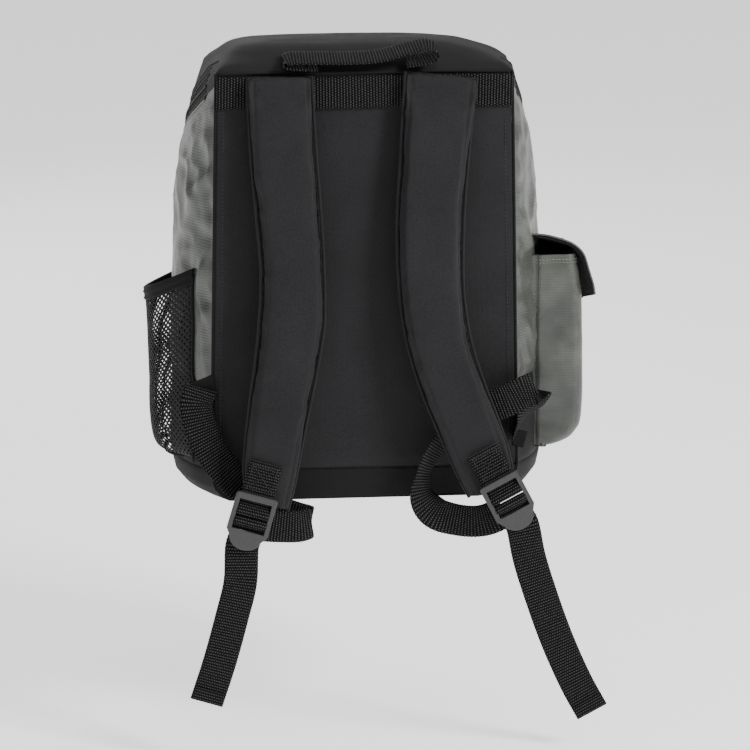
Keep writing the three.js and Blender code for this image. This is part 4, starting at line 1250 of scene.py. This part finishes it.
def net_place(s, z, offset=0.0):
    """Places on the mesh pocket: s runs from 0 at its rear seam to 1 at its front one."""
    s, z = np.broadcast_arrays(np.asarray(s, float), np.asarray(z, float))
    levels = curve(np.array(NET_LEVELS, float), 8)[0]
    out = np.interp(z, levels[:, 0], levels[:, 1])
    i = np.clip(np.searchsorted(NET_WIDTHS, out) - 1, 0, len(NET_WIDTHS) - 2)
    t = (out - NET_WIDTHS[i]) / (NET_WIDTHS[i + 1] - NET_WIDTHS[i])
    j = np.clip((s * NET_STEPS).astype(int), 0, NET_STEPS - 1)
    f = (s * NET_STEPS - j)[..., None]
    low, high = [NET_TABLE[k, j] * (1 - f) + NET_TABLE[k, j + 1] * f for k in (i, i + 1)]
    place = low * (1 - t)[..., None] + high * t[..., None]
    direction = NET_TABLE[i, j + 1] - NET_TABLE[i, j]
    normal = unit(np.cross(direction, (0, 0, -1.0)))
    place = place + normal * np.asarray(offset)[..., None]
    place[..., 2] = z
    return place


def net_seams():
    """Heights, and how far along the net's outline its two seams with the bag are at each."""
    table = []
    for z in np.arange(28, 214, 6):
        rear, front = [beside_body(-1, y, z) - NET_SEAM_X for y in NET_SEAM_YS]
        table.append((z, rear / NET_LENGTH, 1 - front / NET_LENGTH))
    return np.array(table)


NET_SEAMS = net_seams()


def on_net(t, z, offset=0.0):
    """Places on the mesh pocket: t runs from 0 at its rear seam to 1 at its front one."""
    z = np.asarray(z, float)
    first, last = read_off(z, NET_SEAMS[:, 0], NET_SEAMS[:, 1:]).T
    first, last = first.T, last.T
    return net_place(np.clip(first + (last - first) * t, 0, 1), z, offset)


def rim_height(t, depth=0.0):
    """Height of the pocket's slanting rim, or of the line a depth below it."""
    t = np.asarray(t, float)
    z = np.full(t.shape, 190.0)
    for _ in range(5):
        place = on_net(t, z)
        z = NET_RIM["height"] - NET_RIM["slope"] * (-place[..., 0] - NET_RIM["start"])
        z = z - NET_RIM["fall"] * (place[..., 1] - NET_RIM["back"])
        z = z - depth * math.hypot(1, NET_RIM["slope"], NET_RIM["fall"])
    return z


def build_net():
    """Knitted net as a sheet of diamond holes."""
    columns, rows = int(NET_LENGTH / NET_CELL), int(NET_TALL / NET_CELL)
    i, j = np.meshgrid(np.arange(columns + 1), np.arange(rows + 1), indexing="ij")

    def place(a, b, offset):
        t = np.clip(a / columns, 0, 1)
        top = rim_height(t, NET_RIM["binding"] - 2)
        z = NET_BASE + (top - NET_BASE) * np.clip(b / rows, 0, 1)
        spots = on_net(t, z, offset)
        sag = 1.3 * noise(spots, 36, 71) + 0.5 * noise(spots, 12, 72)
        normal = unit(spots - (-140, 82, 0))
        normal[..., 2] = 0
        return spots + normal * (sag * np.sin(np.pi * t))[..., None]

    centres = np.stack([i.ravel(), j.ravel()], axis=1)
    inside = (centres.sum(axis=1) % 2 == 1) & (centres > 0).all(axis=1)
    inside &= (centres[:, 0] < columns) & (centres[:, 1] < rows)
    centres = centres[inside].astype(float)
    rng = np.random.default_rng(5)
    wider = 0.28 * smooth_step(centres[:, 0] / columns, 0.14, 0.24)
    hole = 0.44 + wider + 0.07 * rng.uniform(-1, 1, len(centres))
    directions = np.array([(1, 0), (0, 1), (-1, 0), (0, -1)], float)
    outer = centres[:, None] + directions[None]
    inner = centres[:, None] + directions[None] * hole[:, None, None]
    corners = np.concatenate([outer, inner], axis=1)
    sides = [place(corners[..., 0], corners[..., 1], offset) for offset in (0.5, -0.5)]
    local = []
    for k in range(4):
        n = (k + 1) % 4
        local += [[k, n, 4 + n, 4 + k], [8 + k, 12 + k, 12 + n, 8 + n], [4 + k, 4 + n, 12 + n, 12 + k]]
    faces = (np.arange(len(centres)) * 16)[:, None, None] + np.array(local)[None]
    net = make("net", np.concatenate(sides, axis=1), faces.reshape(-1, 4), NET)
    rework(net.data, 0.01, bridge=True)
    dress(net, "root", "net", "mesh_pocket")


def build_net_binding():
    """A folded tape over the rim, with two sewn ridges."""
    t = np.linspace(0, 1, 90)
    outer = [(12, 1.0), (10.4, 2.1), (8.8, 1.2), (6.4, 1.3), (4.6, 2.3), (2.8, 1.3), (1.0, 1.6),
             (0, 0.6)]
    inner = [(0, -1.6), (1.0, -2.4), (6, -2.2), (12, -1.9)]
    rings = []
    for depth, offset in outer + inner:
        wobble = 0.4 * np.sin(t * 37) * (depth > 8)
        rings.append(on_net(t, rim_height(t, depth + wobble), offset))
    rings = np.stack(rings, axis=1)
    band = loft("net_binding", rings, BLACK)
    dress(band, "root", "black_fabric", "mesh_pocket_binding")
    seam = on_net(t, np.full_like(t, 31.5), 0.6)
    dress(tube("net_base_seam", seam, 1.7, BLACK), "root", "net")
    for name, at in (("rear", 0.0), ("front", 1.0)):
        z = np.linspace(NET_BASE, float(rim_height(np.array(at), 6)), 60)
        line = on_net(np.full_like(z, at), z, 0.7)
        dress(tube(f"net_side_seam_{name}", line, 1.7, BLACK), "root", "net")


# ---------- front pocket ----------
def pocket_outline(shrink=0.0, count=170):
    half, bottom = FRONT_POCKET["half"] - shrink, FRONT_POCKET["bottom"] + shrink
    top, radius = FRONT_POCKET["top"] - shrink, FRONT_POCKET["radius"] - shrink
    corners = [(half - radius, top - radius, 0, radius), (radius - half, top - radius, 90, radius),
               (8 - half, bottom + 8, 180, 8), (half - 8, bottom + 8, 270, 8)]
    loop = []
    for x, z, start, r in corners:
        for a in np.radians(np.linspace(start, start + 90, 13)):
            loop.append((x + r * math.cos(a), z + r * math.sin(a)))
    loop.append(loop[0])
    return resample(np.array(loop), count)[:-1]


def build_front_pocket():
    outline = pocket_outline()
    roots = np.array([on_body((x, 260, z), (0, -1, 0))[1] - 1.2 for x, z in outline])
    start, door, bottom = FRONT_POCKET["tape"], FRONT_POCKET["door"], FRONT_POCKET["bottom"]
    rows = [join(outline[:, 0] * (1.0 + 0.006 * math.sin(math.pi * t)),
                 roots + (start - 0.4 - roots) * t, outline[:, 1]) for t in np.linspace(0, 1, 7)]
    wall = sheet("front_pocket_gusset", rows, GREEN, 1.8, wrap=True, flip=True)
    dress(wall, "root", "green_ripstop", "front_pocket_wall")
    upper = outline[outline[:, 1] > bottom + 9]
    gap = int(np.argmax(np.diff(upper[:, 0]))) + 1  # the zip leaves the pocket's base open
    upper = np.roll(upper, -gap, axis=0)
    for name, y0, y1, body, node in (("fixed", start, start + 4.8, "root", "front_zip_fixed"),
                                     ("door", start + 5.2, door - 0.3, "front_door", "front_zip_door")):
        rows = [join(upper[:, 0], y, upper[:, 1]) for y in np.linspace(y0, y1, 4)]
        tape = sheet(f"front_tape_{name}", rows, TAPE_CLOTH, 1.6, flip=True)
        dress(tape, body, "zip_tape", node)
        line = resample(upper, int(along(upper)[-1] / TOOTH_PITCH))
        if name == "door":
            line = (line[1:] + line[:-1]) / 2
        y = y1 - 0.6 if name == "fixed" else y0 + 0.6
        spots = join(line[:, 0], y, line[:, 1])
        out = unit(np.cross(tangents(spots), (0, 1, 0)))
        out *= np.sign((out * (spots - (0, y, FRONT_MIDDLE))).sum(axis=1, keepdims=True))
        teeth(f"front_teeth_{name}", spots, out, (1.2, 1.6, 1.4), 0.4, body)
    profile = [(1.0, 0), (1.0, 2), (1.0, 4), (0.995, 5.6), (0.98, 6.7), (0.95, 7.3), (0.85, 7.9),
               (0.7, 8.3), (0.5, 8.6), (0.3, 8.8), (0.12, 8.9), (0.0, 8.9)]
    middle = np.array([0.0, FRONT_MIDDLE])
    rows = []
    for k, rise in profile:
        ring = middle + (outline - middle) * k
        rows.append(join(ring[:, 0], door + rise, ring[:, 1]))
    places = np.array(rows)
    soft = np.array([smooth_step(1 - k, 0.0, 0.1) for k, _ in profile])[:, None]
    places[..., 1] += soft * (0.9 * noise(places, 34, 81) + 0.35 * noise(places, 13, 82))
    uv = np.concatenate([places, places[:, :1]], axis=1)[..., ::2]
    face = sheet("front_door_face", places, GREEN, 1.8, uv, wrap=True, flip=True, merge=0.02)
    dress(face, "front_door", "green_ripstop", "front_pocket_door")
    rim = join(outline[:, 0], door + 5.2, outline[:, 1])
    rim = rim.mean(axis=0) + (rim - rim.mean(axis=0)) * (1.004, 1, 1.004)
    piping = tube("front_door_piping", rim, PIPING, BLACK, closed=True)
    dress(piping, "front_door", "green_ripstop")
    x, y = np.meshgrid(np.linspace(-FRONT_POCKET["half"] + 10, FRONT_POCKET["half"] - 10, 40),
                       np.linspace(start - 4, door + 1, 9))
    fold = sheet("front_door_hinge", join(x, y, bottom - 0.2), GREEN, 1.2)
    dress(fold, None, "green_ripstop")
    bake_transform(fold)


# ---------- zip sliders and pulls ----------
def build_pulls():
    for side in SIDES:
        low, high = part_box(f"main_zip_pull_{side}")
        x, y = (low.x + high.x) / 2 / MM, (low.y + high.y) / 2 / MM
        ends = high.z / MM + ORIGIN_HEIGHT, low.z / MM + ORIGIN_HEIGHT
        stops = [((x, y, z), (1, 0, 0)) for z in np.linspace(*ends, 5)]
        tab = ribbon(f"main_pull_tab_{side}", stops, WEBBING, (high.x - low.x) / MM - 0.3, 1.5, 0.2, 7)
        dress(tab, f"main_pull_{side}", "zip_pull", f"main_zip_pull_{side}")
    low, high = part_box("front_zip_pull")
    drop = low.z / MM + ORIGIN_HEIGHT
    top = high.z / MM + ORIGIN_HEIGHT - 1.1
    y = high.y / MM - 1
    route = [(low.y / MM + 0.4, top), (y - 3, top + 0.4), (y, top - 3), (y, (top + drop) / 2), (y, drop + 1)]
    stops = [((0, *place), (1, 0, 0)) for place in route]
    tab = ribbon("front_pull_tab", stops, WEBBING, 7.6, 1.4, 0.2, 7)
    dress(tab, "front_pull", "zip_pull", "front_zip_pull")


def dress_cad():
    """Finishes for the CAD nodes whose own shape stays."""
    stays = {
        "main_zip_slider_left": METAL, "main_zip_slider_right": METAL, "front_zip_slider": METAL,
        "frame_sheet": BOARD, "base_board": BOARD, "back_foam": FOAM,
    }
    for name, material in stays.items():
        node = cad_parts[name]
        node.data.materials.clear()
        node.data.materials.append(material)
        if "slider" in name:
            bevel = node.modifiers.new("Soft edges", "BEVEL")
            bevel.width = 0.4 * MM
            bevel.segments = 2


# ---------- stage ----------
def build_stage():
    """One wide pale floor, so that nothing else is behind the bag from any side."""
    material = bpy.data.materials.new("studio_floor")
    material.use_nodes = True
    shader = material.node_tree.nodes["Principled BSDF"]
    shader.inputs["Base Color"].default_value = (0.9, 0.9, 0.9, 1)
    shader.inputs["Roughness"].default_value = 0.9
    shader.inputs["Emission Color"].default_value = (1, 1, 1, 1)
    shader.inputs["Emission Strength"].default_value = 0.95
    half, height = 30, -0.43  # metres
    mesh = bpy.data.meshes.new("studio_floor")
    corners = [(x * half, y * half, height) for x, y in ((-1, -1), (1, -1), (1, 1), (-1, 1))]
    mesh.from_pydata(corners, [], [(0, 1, 2, 3)])
    mesh.materials.append(material)
    add_object("studio_floor", mesh)


def area_light(name, place, size, power):
    """A soft light that faces the bag."""
    light = bpy.data.lights.new(name, "AREA")
    light.shape = "RECTANGLE"
    light.size, light.size_y = size
    light.energy = power
    obj = add_object(name, light)
    obj.location = place
    obj.rotation_euler = (Vector((0, 0.05, -0.05)) - Vector(place)).to_track_quat("-Z", "Y").to_euler()


def build_lights_and_camera():
    world = bpy.data.worlds.new("studio")
    world.use_nodes = True
    background = world.node_tree.nodes["Background"]
    background.inputs["Color"].default_value = (1, 1, 1, 1)
    background.inputs["Strength"].default_value = 0.36
    bpy.context.scene.world = world
    area_light("key", (1.8, -1.5, 1.6), (0.7, 0.7), 84)
    area_light("fill", (-1.9, -1.8, 0.8), (1.4, 1.8), 9)
    area_light("top", (0.2, -0.1, 2.4), (1.6, 1.2), 14)
    area_light("rear", (-0.6, 2.6, 1.2), (1.6, 1.2), 24)
    azimuth, elevation, distance = math.radians(-5.5), math.radians(13), 3.0
    aim = Vector((0.009, 0.0, -0.087))
    away = Vector((math.sin(azimuth) * math.cos(elevation), -math.cos(azimuth) * math.cos(elevation),
                   math.sin(elevation)))
    camera = bpy.data.cameras.new("camera")
    camera.sensor_width = 36
    camera.lens = 161.3
    obj = add_object("camera", camera)
    obj.location = aim + away * distance
    obj.rotation_euler = (-away).to_track_quat("-Z", "Y").to_euler()
    bpy.context.scene.camera = obj


build_body()
build_main_zip()
build_back()
for name in SIDES:
    build_pad(name)
    build_lock(name)
    build_strap_webbing(name)
    build_patch_stitches(name)
    build_anchor_wing(name)
build_handle()
build_flap_pocket()
build_net()
build_net_binding()
build_front_pocket()
build_pulls()
dress_cad()
build_stage()
build_lights_and_camera()
